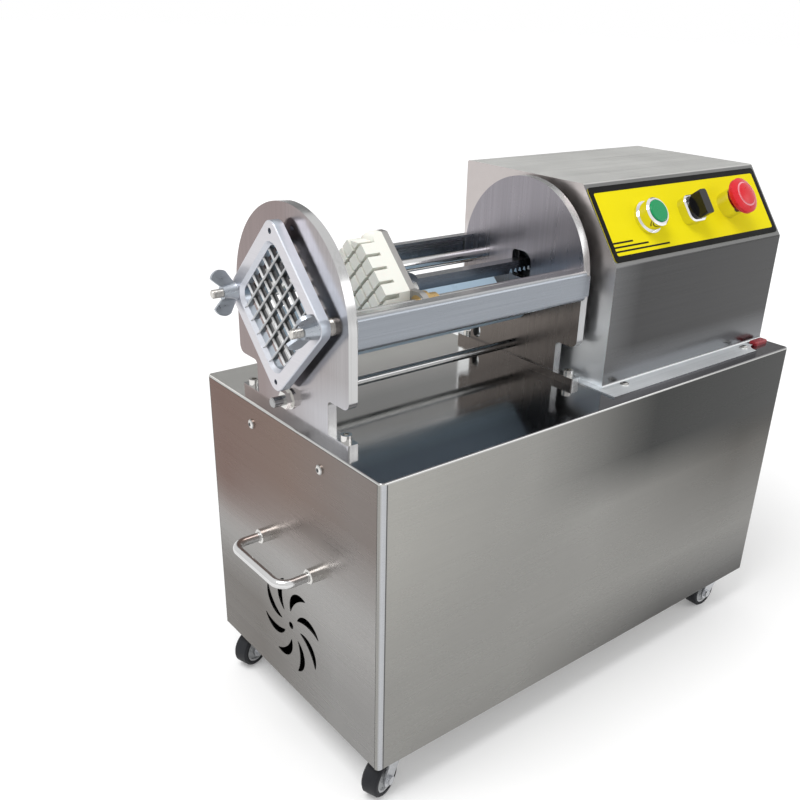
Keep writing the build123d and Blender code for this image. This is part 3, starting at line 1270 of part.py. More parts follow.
start_bezel.part.label = "start_bezel"
export_step(start_bezel.part, "parts/start_bezel.step")

with BuildPart() as start_button:
    with BuildSketch(FACE.offset(BEZEL_HEIGHT - 1)):
        with Locations(BUTTON_SPOTS[0]):
            Circle(BUTTON_DIAMETER / 2)
    extrude(amount=BUTTON_PROUD - BEZEL_HEIGHT + 1)
    fillet(start_button.edges().filter_by(GeomType.CIRCLE).sort_by(Axis(FACE.origin, FACE.z_dir))[-1], 1.5)
    with BuildSketch(FACE.offset(BEZEL_HEIGHT - 1)):
        with Locations(BUTTON_SPOTS[0]):
            Circle(BUTTON_STEM / 2)
    extrude(amount=-(BARREL_LENGTH + BEZEL_HEIGHT - 2 - BUTTON_STROKE - 1))
start_button.part.label = "start_button"
export_step(start_button.part, "parts/start_button.step")

# Black selector switch on a square ring
with BuildPart() as selector_bezel:
    with BuildSketch(FACE):
        with Locations(BUTTON_SPOTS[1]):
            RectangleRounded(SELECTOR_SIDE, SELECTOR_SIDE, SELECTOR_CORNER)
    extrude(amount=SELECTOR_HEIGHT)
    chamfer(selector_bezel.faces().sort_by(Axis(FACE.origin, FACE.z_dir))[-1].edges(), BEZEL_CHAMFER)
    with BuildSketch(FACE):
        with Locations(BUTTON_SPOTS[1]):
            Circle(BARREL_DIAMETER / 2)
    extrude(amount=-BARREL_LENGTH)
    with BuildSketch(FACE.offset(-BARREL_LENGTH)):
        with Locations(BUTTON_SPOTS[1]):
            Circle(BUTTON_STEM / 2 + RUNNING_FIT)
    extrude(amount=BARREL_LENGTH + SELECTOR_HEIGHT, mode=Mode.SUBTRACT)
selector_bezel.part.label = "selector_bezel"
export_step(selector_bezel.part, "parts/selector_bezel.step")

with BuildPart() as selector_knob:
    with BuildSketch(FACE.offset(SELECTOR_HEIGHT + FACE_GAP)):
        with Locations(BUTTON_SPOTS[1]):
            Circle(SELECTOR_DISC / 2)
    extrude(amount=SELECTOR_DISC_HEIGHT)
    with BuildSketch(FACE.offset(SELECTOR_HEIGHT + FACE_GAP + SELECTOR_DISC_HEIGHT)):
        with Locations(BUTTON_SPOTS[1]):
            RectangleRounded(SELECTOR_LEVER, SELECTOR_LEVER_LENGTH, SELECTOR_LEVER_CORNER)
    extrude(amount=SELECTOR_PROUD - SELECTOR_HEIGHT - SELECTOR_DISC_HEIGHT)
    with BuildSketch(FACE.offset(SELECTOR_HEIGHT + FACE_GAP)):
        with Locations(BUTTON_SPOTS[1]):
            Circle(BUTTON_STEM / 2)
    extrude(amount=-(BARREL_LENGTH + SELECTOR_HEIGHT - 1))
selector_knob.part.label = "selector_knob"
export_step(selector_knob.part, "parts/selector_knob.step")

# Red mushroom button on a collar
with BuildPart() as estop_bezel:
    with BuildSketch(FACE):
        with Locations(BUTTON_SPOTS[2]):
            Circle(ESTOP_COLLAR / 2)
    extrude(amount=ESTOP_COLLAR_HEIGHT)
    with BuildSketch(FACE):
        with Locations(BUTTON_SPOTS[2]):
            Circle(BARREL_DIAMETER / 2)
    extrude(amount=-BARREL_LENGTH)
    with BuildSketch(FACE.offset(-BARREL_LENGTH)):
        with Locations(BUTTON_SPOTS[2]):
            Circle(BUTTON_STEM / 2 + RUNNING_FIT)
    extrude(amount=BARREL_LENGTH + ESTOP_COLLAR_HEIGHT, mode=Mode.SUBTRACT)
estop_bezel.part.label = "estop_bezel"
export_step(estop_bezel.part, "parts/estop_bezel.step")

with BuildPart() as estop_cap:
    ESTOP_UNDER = ESTOP_COLLAR_HEIGHT + ESTOP_STROKE + 1
    with BuildSketch(Plane(
        origin=FACE.from_local_coords(Vector(BUTTON_SPOTS[2][0], 0, 0)), x_dir=FACE.x_dir, z_dir=-FACE.y_dir
    )):
        with BuildLine():
            Polyline(
                (0, ESTOP_PROUD),
                (0, -BARREL_LENGTH + ESTOP_STROKE + 1),
                (BUTTON_STEM / 2, -BARREL_LENGTH + ESTOP_STROKE + 1),
                (BUTTON_STEM / 2, ESTOP_UNDER),
                (ESTOP_DIAMETER / 2 - 1, ESTOP_UNDER),
                (ESTOP_DIAMETER / 2, ESTOP_UNDER + 1),
                (ESTOP_DIAMETER / 2, ESTOP_UNDER + ESTOP_RIM),
            )
            TangentArc(
                (0, ESTOP_PROUD),
                (ESTOP_DIAMETER / 2, ESTOP_UNDER + ESTOP_RIM),
                tangent=(1, 0),
            )
        make_face()
    revolve(axis=Axis(FACE.from_local_coords(Vector(BUTTON_SPOTS[2][0], 0, 0)), FACE.z_dir))
    with BuildSketch(FACE.offset(ESTOP_RING_FLOOR)):
        with Locations(BUTTON_SPOTS[2]):
            Circle(ESTOP_RING / 2)
            Circle(ESTOP_RING / 2 - ESTOP_RING_WIDTH, mode=Mode.SUBTRACT)
    extrude(amount=ESTOP_PROUD - ESTOP_RING_FLOOR, mode=Mode.SUBTRACT)
estop_cap.part.label = "estop_cap"
export_step(estop_cap.part, "parts/estop_cap.step")

with BuildPart() as contact_blocks:
    with BuildSketch(FACE.offset(-BARREL_LENGTH)):
        with Locations(*BUTTON_SPOTS):
            Rectangle(CONTACT_SIDE, CONTACT_SIDE)
    extrude(amount=-CONTACT_DEPTH)
contact_blocks.part.label = "contact_blocks"
export_step(contact_blocks.part, "parts/contact_blocks.step")

# Low red pad on the deck between the housing wall and the end of the flange
with BuildPart() as red_bumper:
    with BuildSketch(level(0)):
        with Locations((PAD_STATION, -PAD_LATERAL)):
            RectangleRounded(PAD_LENGTH, PAD_WIDTH, PAD_CORNER)
    extrude(amount=PAD_HEIGHT)
    fillet(red_bumper.faces().sort_by(Axis.Z)[-1].edges(), PAD_CORNER - 1)
red_bumper.part.label = "red_bumper"
export_step(red_bumper.part, "parts/red_bumper.step")

# Castors: plates and kingpins stay with the cabinet, forks swivel, wheels roll
AXLE_HEIGHT = WHEEL_DIAMETER / 2
FORK_TOP = CASTOR_HEIGHT - CASTOR_PLATE_THICKNESS - RACE_HEIGHT - 0.2
FORK_INNER = WHEEL_WIDTH / 2 + FORK_SIDE_GAP
CORNERS = {
    "front_near": (CASTOR_INSET_X, -CABINET_WIDTH / 2 + CASTOR_INSET_Y, 200.0),
    "front_far": (CASTOR_INSET_X, CABINET_WIDTH / 2 - CASTOR_INSET_Y, 198.0),
    "rear_near": (CABINET_LENGTH - CASTOR_INSET_X, -CABINET_WIDTH / 2 + CASTOR_INSET_Y, 180.0),
    "rear_far": (CABINET_LENGTH - CASTOR_INSET_X, CABINET_WIDTH / 2 - CASTOR_INSET_Y, 172.0),
}
with BuildPart() as castor_plates:
    spots = [(x, y) for x, y, _ in CORNERS.values()]
    with BuildSketch(level(CASTOR_HEIGHT - DECK)):
        with Locations(*spots):
            RectangleRounded(CASTOR_PLATE, CASTOR_PLATE, 4)
    extrude(amount=-CASTOR_PLATE_THICKNESS)
    with BuildSketch(level(CASTOR_HEIGHT - DECK - CASTOR_PLATE_THICKNESS)):
        with Locations(*spots):
            Circle(RACE_DIAMETER / 2)
    extrude(amount=-RACE_HEIGHT)
    with BuildSketch(level(CASTOR_HEIGHT - DECK - CASTOR_PLATE_THICKNESS - RACE_HEIGHT)):
        with Locations(*spots):
            Circle(KINGPIN_DIAMETER / 2)
    extrude(amount=-(FORK_SHEET + 0.3))
    with BuildSketch(level(FORK_TOP - FORK_SHEET - 0.1 - DECK)):
        with Locations(*spots):
            Circle(KINGPIN_DIAMETER * 0.8)
    extrude(amount=-2)
castor_plates.part.label = "castor_plates"
export_step(castor_plates.part, "parts/castor_plates.step")

for corner, (inset_x, inset_y, heading) in CORNERS.items():
    swivel = Plane(
        origin=(FRONT + inset_x, inset_y, 0),
        x_dir=(cos(radians(heading)), sin(radians(heading)), 0),
        z_dir=(0, 0, 1),
    )
    wheel_side = Plane(origin=swivel.origin, x_dir=swivel.x_dir, z_dir=-swivel.y_dir)

    with BuildPart() as fork:
        with BuildSketch(swivel.offset(FORK_TOP)):
            Circle(FORK_CROWN)
            Circle(KINGPIN_DIAMETER / 2 + RUNNING_FIT, mode=Mode.SUBTRACT)
        extrude(amount=-FORK_SHEET)
        for side in (-1, 1):
            inner = side * FORK_INNER
            with BuildSketch(wheel_side.offset(inner)):
                with BuildLine():
                    Polyline(
                        (-11, FORK_TOP),
                        (11, FORK_TOP),
                        (CASTOR_TRAIL + 7, AXLE_HEIGHT + 4),
                    )
                    ThreePointArc(
                        (CASTOR_TRAIL + 7, AXLE_HEIGHT + 4),
                        (CASTOR_TRAIL + 3, AXLE_HEIGHT - 7.4),
                        (CASTOR_TRAIL - 7, AXLE_HEIGHT - 4),
                    )
                    Polyline((CASTOR_TRAIL - 7, AXLE_HEIGHT - 4), (-11, FORK_TOP - 5), (-11, FORK_TOP))
                make_face()
                with Locations((CASTOR_TRAIL, AXLE_HEIGHT)):
                    Circle(AXLE_DIAMETER / 2, mode=Mode.SUBTRACT)
            extrude(amount=side * FORK_SHEET)
        with BuildSketch(wheel_side.offset(-FORK_INNER - FORK_SHEET)):
            with Locations((CASTOR_TRAIL, AXLE_HEIGHT)):
                Circle(AXLE_DIAMETER / 2)
        extrude(amount=2 * (FORK_INNER + FORK_SHEET))
        for side in (-1, 1):
            with BuildSketch(wheel_side.offset(side * (FORK_INNER + FORK_SHEET))):
                with Locations((CASTOR_TRAIL, AXLE_HEIGHT)):
                    RegularPolygon(AXLE_HEAD / 2, 6)
            extrude(amount=side * AXLE_HEAD_HEIGHT)
    fork.part.label = f"castor_fork_{corner}"
    export_step(fork.part, f"parts/castor_fork_{corner}.step")

    with BuildPart() as hub:
        with BuildSketch(wheel_side.offset(-WHEEL_WIDTH / 2 + 1)):
            with Locations((CASTOR_TRAIL, AXLE_HEIGHT)):
                Circle(WHEEL_DIAMETER / 2 - TYRE_THICKNESS)
                Circle(AXLE_DIAMETER / 2 + RUNNING_FIT, mode=Mode.SUBTRACT)
        extrude(amount=WHEEL_WIDTH - 2)
        for side in (-1, 1):
            with BuildSketch(wheel_side.offset(side * (WHEEL_WIDTH / 2 - 1))):
                with Locations((CASTOR_TRAIL, AXLE_HEIGHT)):
                    Circle(WHEEL_DIAMETER / 2 - TYRE_THICKNESS - 2)
                    Circle(AXLE_DIAMETER / 2 + 3, mode=Mode.SUBTRACT)
            extrude(amount=-side * 3, mode=Mode.SUBTRACT)
    hub.part.label = f"castor_hub_{corner}"
    export_step(hub.part, f"parts/castor_hub_{corner}.step")

    with BuildPart() as tyre:
        with BuildSketch(wheel_side.offset(-WHEEL_WIDTH / 2)):
            with Locations((CASTOR_TRAIL, AXLE_HEIGHT)):
                Circle(WHEEL_DIAMETER / 2)
                Circle(WHEEL_DIAMETER / 2 - TYRE_THICKNESS, mode=Mode.SUBTRACT)
        extrude(amount=WHEEL_WIDTH)
        rims = tyre.edges().filter_by(GeomType.CIRCLE).group_by(SortBy.RADIUS)[-1]
        chamfer(rims, TYRE_CHAMFER)
    tyre.part.label = f"castor_tyre_{corner}"
    export_step(tyre.part, f"parts/castor_tyre_{corner}.step")
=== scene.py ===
import math

import bmesh
import bpy
from mathutils import Matrix, Vector


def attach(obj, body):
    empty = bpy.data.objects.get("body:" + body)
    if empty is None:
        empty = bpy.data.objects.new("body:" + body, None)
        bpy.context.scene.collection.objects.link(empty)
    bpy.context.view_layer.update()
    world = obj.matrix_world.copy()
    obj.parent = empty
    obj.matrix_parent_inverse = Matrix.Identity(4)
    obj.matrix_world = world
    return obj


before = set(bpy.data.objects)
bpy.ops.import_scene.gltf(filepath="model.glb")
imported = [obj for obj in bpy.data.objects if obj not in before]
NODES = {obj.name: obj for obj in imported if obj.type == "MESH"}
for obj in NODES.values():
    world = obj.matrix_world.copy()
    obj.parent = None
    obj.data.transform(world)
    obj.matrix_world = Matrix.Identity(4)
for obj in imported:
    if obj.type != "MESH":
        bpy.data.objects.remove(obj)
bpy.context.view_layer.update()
scene = bpy.context.scene
scene.view_settings.view_transform = "Standard"

LEFT, NEAR, UP = (-1, 0, 0), (0, -1, 0), (0, 0, 1)
WHITE = (1, 1, 1)


def mm(*values):
    """Vector from millimetres."""
    return Vector(values) / 1000.0


# Node helpers


class Nodes:
    """Builds the nodes of one node tree."""

    def __init__(self, tree):
        self.tree = tree

    def new(self, kind, **settings):
        node = self.tree.nodes.new(kind)
        for key, value in settings.items():
            setattr(node, key, value)
        return node

    def feed(self, socket, value):
        """Give a socket another node's output or a constant."""
        if isinstance(value, bpy.types.NodeSocket):
            self.tree.links.new(value, socket)
        elif socket.type == "RGBA":
            socket.default_value = (*value, 1.0)
        else:
            socket.default_value = value

    def ramp(self, value, low, high, start=0.3, end=0.7):
        """Take a value's range from start to end to the range from low to high."""
        node = self.new("ShaderNodeMapRange")
        self.feed(node.inputs["Value"], value)
        self.feed(node.inputs["From Min"], start)
        self.feed(node.inputs["From Max"], end)
        self.feed(node.inputs["To Min"], low)
        self.feed(node.inputs["To Max"], high)
        return node.outputs["Result"]

    def math(self, operation, a, b):
        node = self.new("ShaderNodeMath", operation=operation)
        self.feed(node.inputs[0], a)
        self.feed(node.inputs[1], b)
        return node.outputs["Value"]

    def vector_math(self, operation, a, b=None, result="Vector"):
        node = self.new("ShaderNodeVectorMath", operation=operation)
        self.feed(node.inputs[0], a)
        if b is not None:
            self.feed(node.inputs[1], b)
        return node.outputs[result]

    def mix(self, factor, a, b, blend="MIX"):
        node = self.new("ShaderNodeMix", data_type="RGBA", blend_type=blend)
        self.feed(node.inputs["Factor"], factor)
        self.feed(node.inputs["A"], a)
        self.feed(node.inputs["B"], b)
        return node.outputs["Result"]

    def multiply(self, a, b):
        """Product of two colours."""
        return self.mix(1.0, a, b, blend="MULTIPLY")

    def background_rays(self):
        """1 for the rays that show the background: those of the camera, and those of metal and glass."""
        path = self.new("ShaderNodeLightPath")
        shown = self.math("MAXIMUM", path.outputs["Is Camera Ray"], path.outputs["Is Glossy Ray"])
        return self.math("MAXIMUM", shown, path.outputs["Is Transmission Ray"])


class Mat(Nodes):
    """Builds one node material, or adds nodes to an existing one. Lengths are in metres of the object."""

    def __init__(self, name, existing=None):
        self.mat = existing or bpy.data.materials.new(name)
        self.mat.use_nodes = True
        super().__init__(self.mat.node_tree)
        self.shader = self.tree.nodes["Principled BSDF"]
        self.coord = self.new("ShaderNodeTexCoord")

    def set(self, name, value):
        """Give one of the shader's own sockets a constant or a node's output."""
        self.feed(self.shader.inputs[name], value)

    def noise(self, scale, detail=4.0, rough=0.55, stretch=(1, 1, 1), rotation=(0, 0, 0)):
        mapping = self.new("ShaderNodeMapping")
        self.feed(mapping.inputs["Vector"], self.coord.outputs["Object"])
        self.feed(mapping.inputs["Scale"], stretch)
        self.feed(mapping.inputs["Rotation"], rotation)
        node = self.new("ShaderNodeTexNoise")
        self.feed(node.inputs["Vector"], mapping.outputs["Vector"])
        self.feed(node.inputs["Scale"], scale)
        self.feed(node.inputs["Detail"], detail)
        self.feed(node.inputs["Roughness"], rough)
        return node.outputs["Fac"]

    def along(self, axis):
        """Position along one axis of the object."""
        node = self.new("ShaderNodeSeparateXYZ")
        self.feed(node.inputs["Vector"], self.coord.outputs["Object"])
        return node.outputs[axis]

    def facing(self, direction, start=0.55, end=0.85, both=False):
        """Mask of the faces that look along a direction, or along its opposite as well."""
        value = self.vector_math("DOT_PRODUCT", self.coord.outputs["Normal"], direction, result="Value")
        if both:
            value = self.math("ABSOLUTE", value, 0.0)
        return self.ramp(value, 0, 1, start, end)

    def bump(self, height, strength, distance, before=None):
        node = self.new("ShaderNodeBump")
        self.feed(node.inputs["Height"], height)
        self.feed(node.inputs["Strength"], strength)
        self.feed(node.inputs["Distance"], distance)
        if before is not None:
            self.feed(node.inputs["Normal"], before)
        return node.outputs["Normal"]


def shade(colour, factor):
    return tuple(min(1.0, channel * factor) for channel in colour)


def zone(direction, *spans, facing=(0.55, 0.85)):
    """Mask of the faces along a direction that grows along each span, given as axis, start and end.

    Facing holds the cosines to the direction at which the mask starts and at which it is full.
    """

    def mask(m):
        value = m.facing(direction, *facing)
        for axis, start, end in spans:
            value = m.math("MULTIPLY", value, m.ramp(m.along(axis), 0, 1, start, end))
        return value

    return mask


# Kinds of surface

STREAK_LENGTH = 90.0  # brush streaks are this many times as long as they are wide
STREAK_DEPTH = 0.0004
SHEET_WAVE = {"scale": 3.2, "detail": 1.0}
ROD_WAVE = {"scale": 5.0, "detail": 1.0}
WAVE_DEPTH = 0.02
FINE_DEPTH = 0.0003
BAND_PERIOD = 0.314  # of the wave texture's bands at scale 1


def brushed(
    name, colour, rough, grain, contrast=0.05, bump=0.05, across=700.0, zones=(), dull=(), matt=None
):
    """Brushed sheet: fine streaks along one axis, soft clouds of wear and a slight waviness of the sheet.

    Zones are pairs of a mask and the tone painted there: painted reflections, shade and highlights. Dull
    pairs a mask with added roughness, and matt is a mask where the steel turns matt, for the painted
    highlights on the knives' edges.
    """
    m = Mat(name)
    grain_index = "XYZ".index(grain)
    stretch = [across] * 3
    stretch[grain_index] = across / STREAK_LENGTH
    axis = [0.0] * 3
    axis[grain_index] = 1.0
    streaks = m.noise(1.0, detail=3.0, rough=0.6, stretch=stretch)
    broad_streaks = m.noise(0.22, detail=2.0, rough=0.5, stretch=stretch)
    clouds = m.noise(7.0, detail=5.0, rough=0.6)
    beside = m.math("SUBTRACT", 1.0, m.facing(axis, both=True))

    streak_mask = m.math("MULTIPLY", m.ramp(streaks, 0, 1), beside)
    streak_tone = m.mix(streak_mask, WHITE, shade(WHITE, 1 - 2 * contrast))
    wear_tone = m.mix(m.ramp(clouds, 0, 1), shade(WHITE, 0.94), WHITE)
    tone = colour
    # each zone paints a reflection, a shade or a highlight into the steel's colour
    for mask, painted_tone in zones:
        tone = m.mix(mask(m), tone, painted_tone)
    m.set("Base Color", m.multiply(m.multiply(streak_tone, wear_tone), tone))
    m.set("Metallic", 1.0 if matt is None else m.ramp(matt(m), low=1.0, high=0.25, start=0, end=1))

    worn = m.ramp(clouds, low=rough - 0.05, high=rough + 0.06)
    roughness = m.math("ADD", worn, m.ramp(broad_streaks, low=-0.04, high=0.05))
    for mask, added in dull:
        roughness = m.math("ADD", roughness, m.math("MULTIPLY", mask(m), added))
    m.set("Roughness", roughness)

    normal = m.bump(streaks, m.math("MULTIPLY", beside, bump), STREAK_DEPTH)
    m.set("Normal", m.bump(m.noise(**SHEET_WAVE), 0.10, WAVE_DEPTH, before=normal))
    return m.mat


def polished(name, colour, rough, wobble=0.05, scratch=0.05, cloud=14.0):
    """Polished metal with faint wipe marks."""
    m = Mat(name)
    clouds = m.noise(cloud, detail=6.0, rough=0.65)
    wipes = m.noise(1.0, detail=3.0, stretch=(160, 700, 420), rotation=(0.2, 0.1, 0.5))
    m.set("Base Color", m.mix(m.ramp(clouds, 0, 1), shade(colour, 0.93), shade(colour, 1.04)))
    m.set("Metallic", 1.0)
    worn = m.ramp(clouds, rough * 0.75, rough * 1.3)
    m.set("Roughness", m.math("ADD", worn, m.ramp(wipes, -rough * 0.2, rough * 0.4)))
    normal = m.bump(wipes, scratch, FINE_DEPTH)
    m.set("Normal", m.bump(m.noise(**ROD_WAVE), wobble, WAVE_DEPTH, before=normal))
    return m.mat


def plastic(name, colour, rough, grain=0.10, vary=0.06, sub=0.0, spec=0.5, coat=0.0, scale=420.0):
    """Moulded or machined plastic with a fine surface grain and slight colour variation."""
    m = Mat(name)
    clouds = m.ramp(m.noise(22.0, detail=4.0), 0, 1)
    m.set("Base Color", m.mix(clouds, shade(colour, 1 - vary), shade(colour, 1 + vary * 0.5)))
    m.set("Roughness", m.ramp(m.noise(60.0, detail=4.0), rough * 0.85, rough * 1.2))
    m.set("Specular IOR Level", spec)
    m.set("Coat Weight", coat)
    m.set("Coat Roughness", 0.08)
    m.set("Subsurface Weight", sub)
    m.set("Subsurface Radius", (0.004, 0.003, 0.003))
    m.set("Normal", m.bump(m.noise(scale, detail=3.0), grain, FINE_DEPTH))
    return m.mat


def threaded(name, colour, rough, axis, pitch):
    """Bright screw thread drawn as rings along an axis, with painted shade in its grooves."""
    m = Mat(name)
    rings = m.new("ShaderNodeTexWave", wave_type="BANDS", bands_direction=axis, wave_profile="SIN")
    m.feed(rings.inputs["Vector"], m.coord.outputs["Object"])
    m.feed(rings.inputs["Scale"], BAND_PERIOD / pitch)
    m.feed(rings.inputs["Distortion"], 0.0)
    # the darker bands are painted shade in the thread's grooves
    m.set("Base Color", m.mix(rings.outputs["Fac"], shade(colour, 0.55), colour))
    m.set("Metallic", 1.0)
    m.set("Roughness", m.ramp(m.noise(80.0), rough * 0.8, rough * 1.3))
    m.set("Normal", m.bump(rings.outputs["Fac"], 0.6, 0.0006))
    return m.mat


def ringed(mat, centre, axis, inner, outer, colour):
    """Paint a ring round an axis over the colour of a finished material: print on the mushroom, painted
    shade on the screw heads.
    """
    soft = 0.0002
    m = Mat(mat.name, existing=mat)
    away = m.vector_math("SUBTRACT", m.coord.outputs["Object"], centre)
    radius = m.vector_math("LENGTH", m.vector_math("CROSS_PRODUCT", away, axis), result="Value")
    inside = m.ramp(radius, 0, 1, inner - soft, inner + soft)
    outside = m.ramp(radius, 1, 0, outer - soft, outer + soft)
    before = m.shader.inputs["Base Color"].links[0].from_socket
    m.set("Base Color", m.mix(m.math("MULTIPLY", inside, outside), before, colour))


# Materials. The zones paint reflections, shade and highlights into the colour as soft changes of tone;
# their places are in metres.

# The front panel's flange wraps round the near corner: a band of painted highlight, and the dark line of
# its joint
CORNER_FLANGE_HIGHLIGHT = zone(NEAR, ("X", -0.2781, -0.2776), ("X", -0.2718, -0.2725))
CORNER_JOINT = zone(NEAR, ("X", -0.2722, -0.2718), ("X", -0.2706, -0.2710))
M_SIDE = brushed(
    "cabinet_side_steel",
    colour=(0.28, 0.276, 0.262),
    rough=0.25,
    grain="X",
    contrast=0.025,
    bump=0.02,
    zones=(
        # painted reflections and painted shade: lighter towards the upper left, darker to the right, along
        # the top and towards the bottom
        (zone(NEAR, ("X", -0.10, -0.26), ("Z", 0.14, 0.28)), (0.36, 0.354, 0.332)),
        (zone(NEAR, ("X", 0.00, 0.25), ("Z", 0.08, 0.28)), (0.045, 0.040, 0.033)),
        (zone(NEAR, ("Z", 0.13, 0.05), ("X", -0.10, 0.15)), (0.085, 0.084, 0.081)),
        (zone(NEAR, ("X", -0.10, 0.08), ("Z", 0.24, 0.29)), (0.040, 0.041, 0.040)),
        (CORNER_FLANGE_HIGHLIGHT, (0.46, 0.47, 0.49)),
        (CORNER_JOINT, (0.09, 0.09, 0.092)),
    ),
)
M_FRONT = brushed(
    "cabinet_front_steel",
    colour=(0.325, 0.318, 0.310),
    rough=0.25,
    grain="Y",
    contrast=0.025,
    bump=0.02,
    zones=(
        # painted reflections: a brownish upper part, stronger towards the middle and far side, darker
        # towards the bottom and lower left
        (zone(LEFT, ("Z", 0.21, 0.29)), (0.185, 0.160, 0.148)),
        (zone(LEFT, ("Z", 0.20, 0.29), ("Y", -0.11, 0.0)), (0.165, 0.112, 0.090)),
        (zone(LEFT, ("Z", 0.18, 0.25), ("Y", 0.00, 0.12)), (0.128, 0.068, 0.050)),
        (zone(LEFT, ("Z", 0.18, 0.10)), (0.255, 0.250, 0.243)),
        (zone(LEFT, ("Z", 0.20, 0.12), ("Y", -0.08, 0.06)), (0.130, 0.118, 0.106)),
    ),
)
M_DECK = brushed(
    "deck_mirror_steel",
    colour=(0.50, 0.50, 0.49),
    rough=0.11,
    grain="X",
    contrast=0.02,
    bump=0.01,
    zones=(
        # painted reflections of the polished deck: darker towards the near side, bright towards the far
        # side
        (zone(UP, ("Y", -0.07, -0.12)), (0.24, 0.235, 0.245)),
        (zone(UP, ("Y", 0.0, 0.09)), (0.96, 0.95, 0.91)),
    ),
)
M_HOUSING = brushed(
    "housing_steel",
    colour=(0.34, 0.345, 0.35),
    rough=0.24,
    grain="X",
    bump=0.02,
    across=420.0,
    zones=(
        # painted reflections and painted light: a dark near wall with a lighter foot and left edge, a pale
        # end wall brighter lower down, a lighter top and a bright flange
        (zone(NEAR), (0.064, 0.064, 0.065)),
        (zone(NEAR, ("Z", 0.395, 0.362)), (0.19, 0.195, 0.205)),
        (zone(NEAR, ("X", 0.075, 0.034)), (0.125, 0.126, 0.129)),
        (zone(LEFT), (0.52, 0.48, 0.47)),
        (zone(LEFT, ("Z", 0.49, 0.42)), (0.96, 0.98, 1.0)),
        (zone(UP), (0.66, 0.66, 0.64)),
        (zone(UP, ("Z", 0.40, 0.36)), (0.95, 0.98, 1.0)),
    ),
    dull=((zone(UP), 0.30), (zone(LEFT), 0.10)),
)
M_PLATE = brushed(
    "front_plate_steel",
    colour=(0.55, 0.55, 0.55),
    rough=0.17,
    grain="Z",
    contrast=0.06,
    across=450.0,
    zones=(
        # painted reflections on the front face: brownish, greyer towards the near side, pale bluish at the
        # lower near part
        (zone(LEFT), (0.26, 0.21, 0.205)),
        (zone(LEFT, ("Y", 0.01, -0.08)), (0.36, 0.345, 0.35)),
        (zone(LEFT, ("Z", 0.42, 0.38), ("Y", 0.05, -0.08)), (0.50, 0.50, 0.53)),
    ),
)
M_PLATE_REAR = brushed(
    "rear_plate_steel",
    colour=(0.55, 0.55, 0.55),
    rough=0.26,
    grain="Z",
    contrast=0.06,
    across=450.0,
    zones=(
        # painted reflections on the front face: blue-grey, darker and browner towards the bottom
        (zone(LEFT), (0.29, 0.275, 0.30)),
        (zone(LEFT, ("Z", 0.47, 0.44)), (0.17, 0.15, 0.14)),
    ),
)
M_STEEL = brushed(
    "cut_plate_steel", colour=(0.42, 0.41, 0.40), rough=0.30, grain="Z", contrast=0.08, across=450.0
)
M_RAIL = brushed(
    "rail_steel",
    colour=(0.55, 0.56, 0.57),
    rough=0.24,
    grain="X",
    bump=0.02,
    # painted shade: the faces towards the near side darker and bluer
    zones=((zone(NEAR), (0.27, 0.29, 0.32)),),
)
M_BAR = brushed(
    "push_bar_steel",
    colour=(0.38, 0.40, 0.42),
    rough=0.22,
    grain="X",
    bump=0.02,
    # painted shade: the faces towards the near side darker and bluer
    zones=((zone(NEAR), (0.14, 0.155, 0.18)),),
)
M_FRAME = brushed(
    "frame_aluminium",
    colour=(0.56, 0.61, 0.68),
    rough=0.36,
    grain="Y",
    contrast=0.04,
    bump=0.03,
    across=1500.0,
    # painted reflections: the front face greyer than the bluish other faces
    zones=((zone(LEFT), (0.62, 0.61, 0.64)),),
)


EDGE_HIGHLIGHT_START, EDGE_HIGHLIGHT_FULL = 0.0022, 0.0016  # how far behind a knife's edge the painted highlight starts and is full
EDGE_HIGHLIGHT_FACING = (0.05, 0.12)  # the painted highlight lies on faces that look forward only a little


def knife_steel(node_name):
    """Steel with dark flanks and a pale, matt painted highlight, fitted to the foremost edge of one set of
    knives.
    """
    tip = min(vertex.co.x for vertex in NODES[node_name].data.vertices)
    # painted highlight along the knives' foremost edge
    edge = zone(LEFT, ("X", tip + EDGE_HIGHLIGHT_START, tip + EDGE_HIGHLIGHT_FULL), facing=EDGE_HIGHLIGHT_FACING)
    return brushed(
        node_name + "_steel",
        colour=(0.17, 0.17, 0.173),
        rough=0.32,
        grain="Y",
        bump=0.02,
        across=1200.0,
        zones=((edge, (0.90, 0.90, 0.90)),),
        matt=edge,
    )


M_ROD = polished("rod_steel", (0.62, 0.62, 0.62), rough=0.14)
M_TIE = polished("tie_rod_steel", (0.34, 0.34, 0.34), rough=0.18)
M_BRIGHT = polished("bright_fastener_steel", (0.66, 0.65, 0.63), rough=0.18)
M_SCREW = polished("pan_head_screw_steel", (0.66, 0.65, 0.63), rough=0.20)
M_CHROME = polished("chrome_bezel", (0.78, 0.78, 0.78), rough=0.07, scratch=0.02)
M_NUT = polished("wing_nut_steel", (0.40, 0.43, 0.47), rough=0.30, wobble=0.0, scratch=0.0, cloud=30.0)
M_ZINC = polished("zinc_plate", (0.55, 0.56, 0.58), rough=0.30, cloud=60.0)
M_BRONZE = polished("bronze_bush", (0.55, 0.38, 0.17), rough=0.32, cloud=70.0)
M_THREAD = threaded("stud_thread_steel", (0.58, 0.56, 0.53), rough=0.26, axis="X", pitch=0.00125)

M_CAST = plastic("cast_grey_paint", (0.16, 0.18, 0.20), rough=0.45, grain=0.35, scale=260.0)
M_MOTOR = plastic("motor_blue_grey_paint", (0.10, 0.15, 0.21), rough=0.42, grain=0.3, scale=260.0)
M_POM = plastic("pusher_white", (0.80, 0.80, 0.74), rough=0.40, grain=0.04, vary=0.02, sub=0.25)
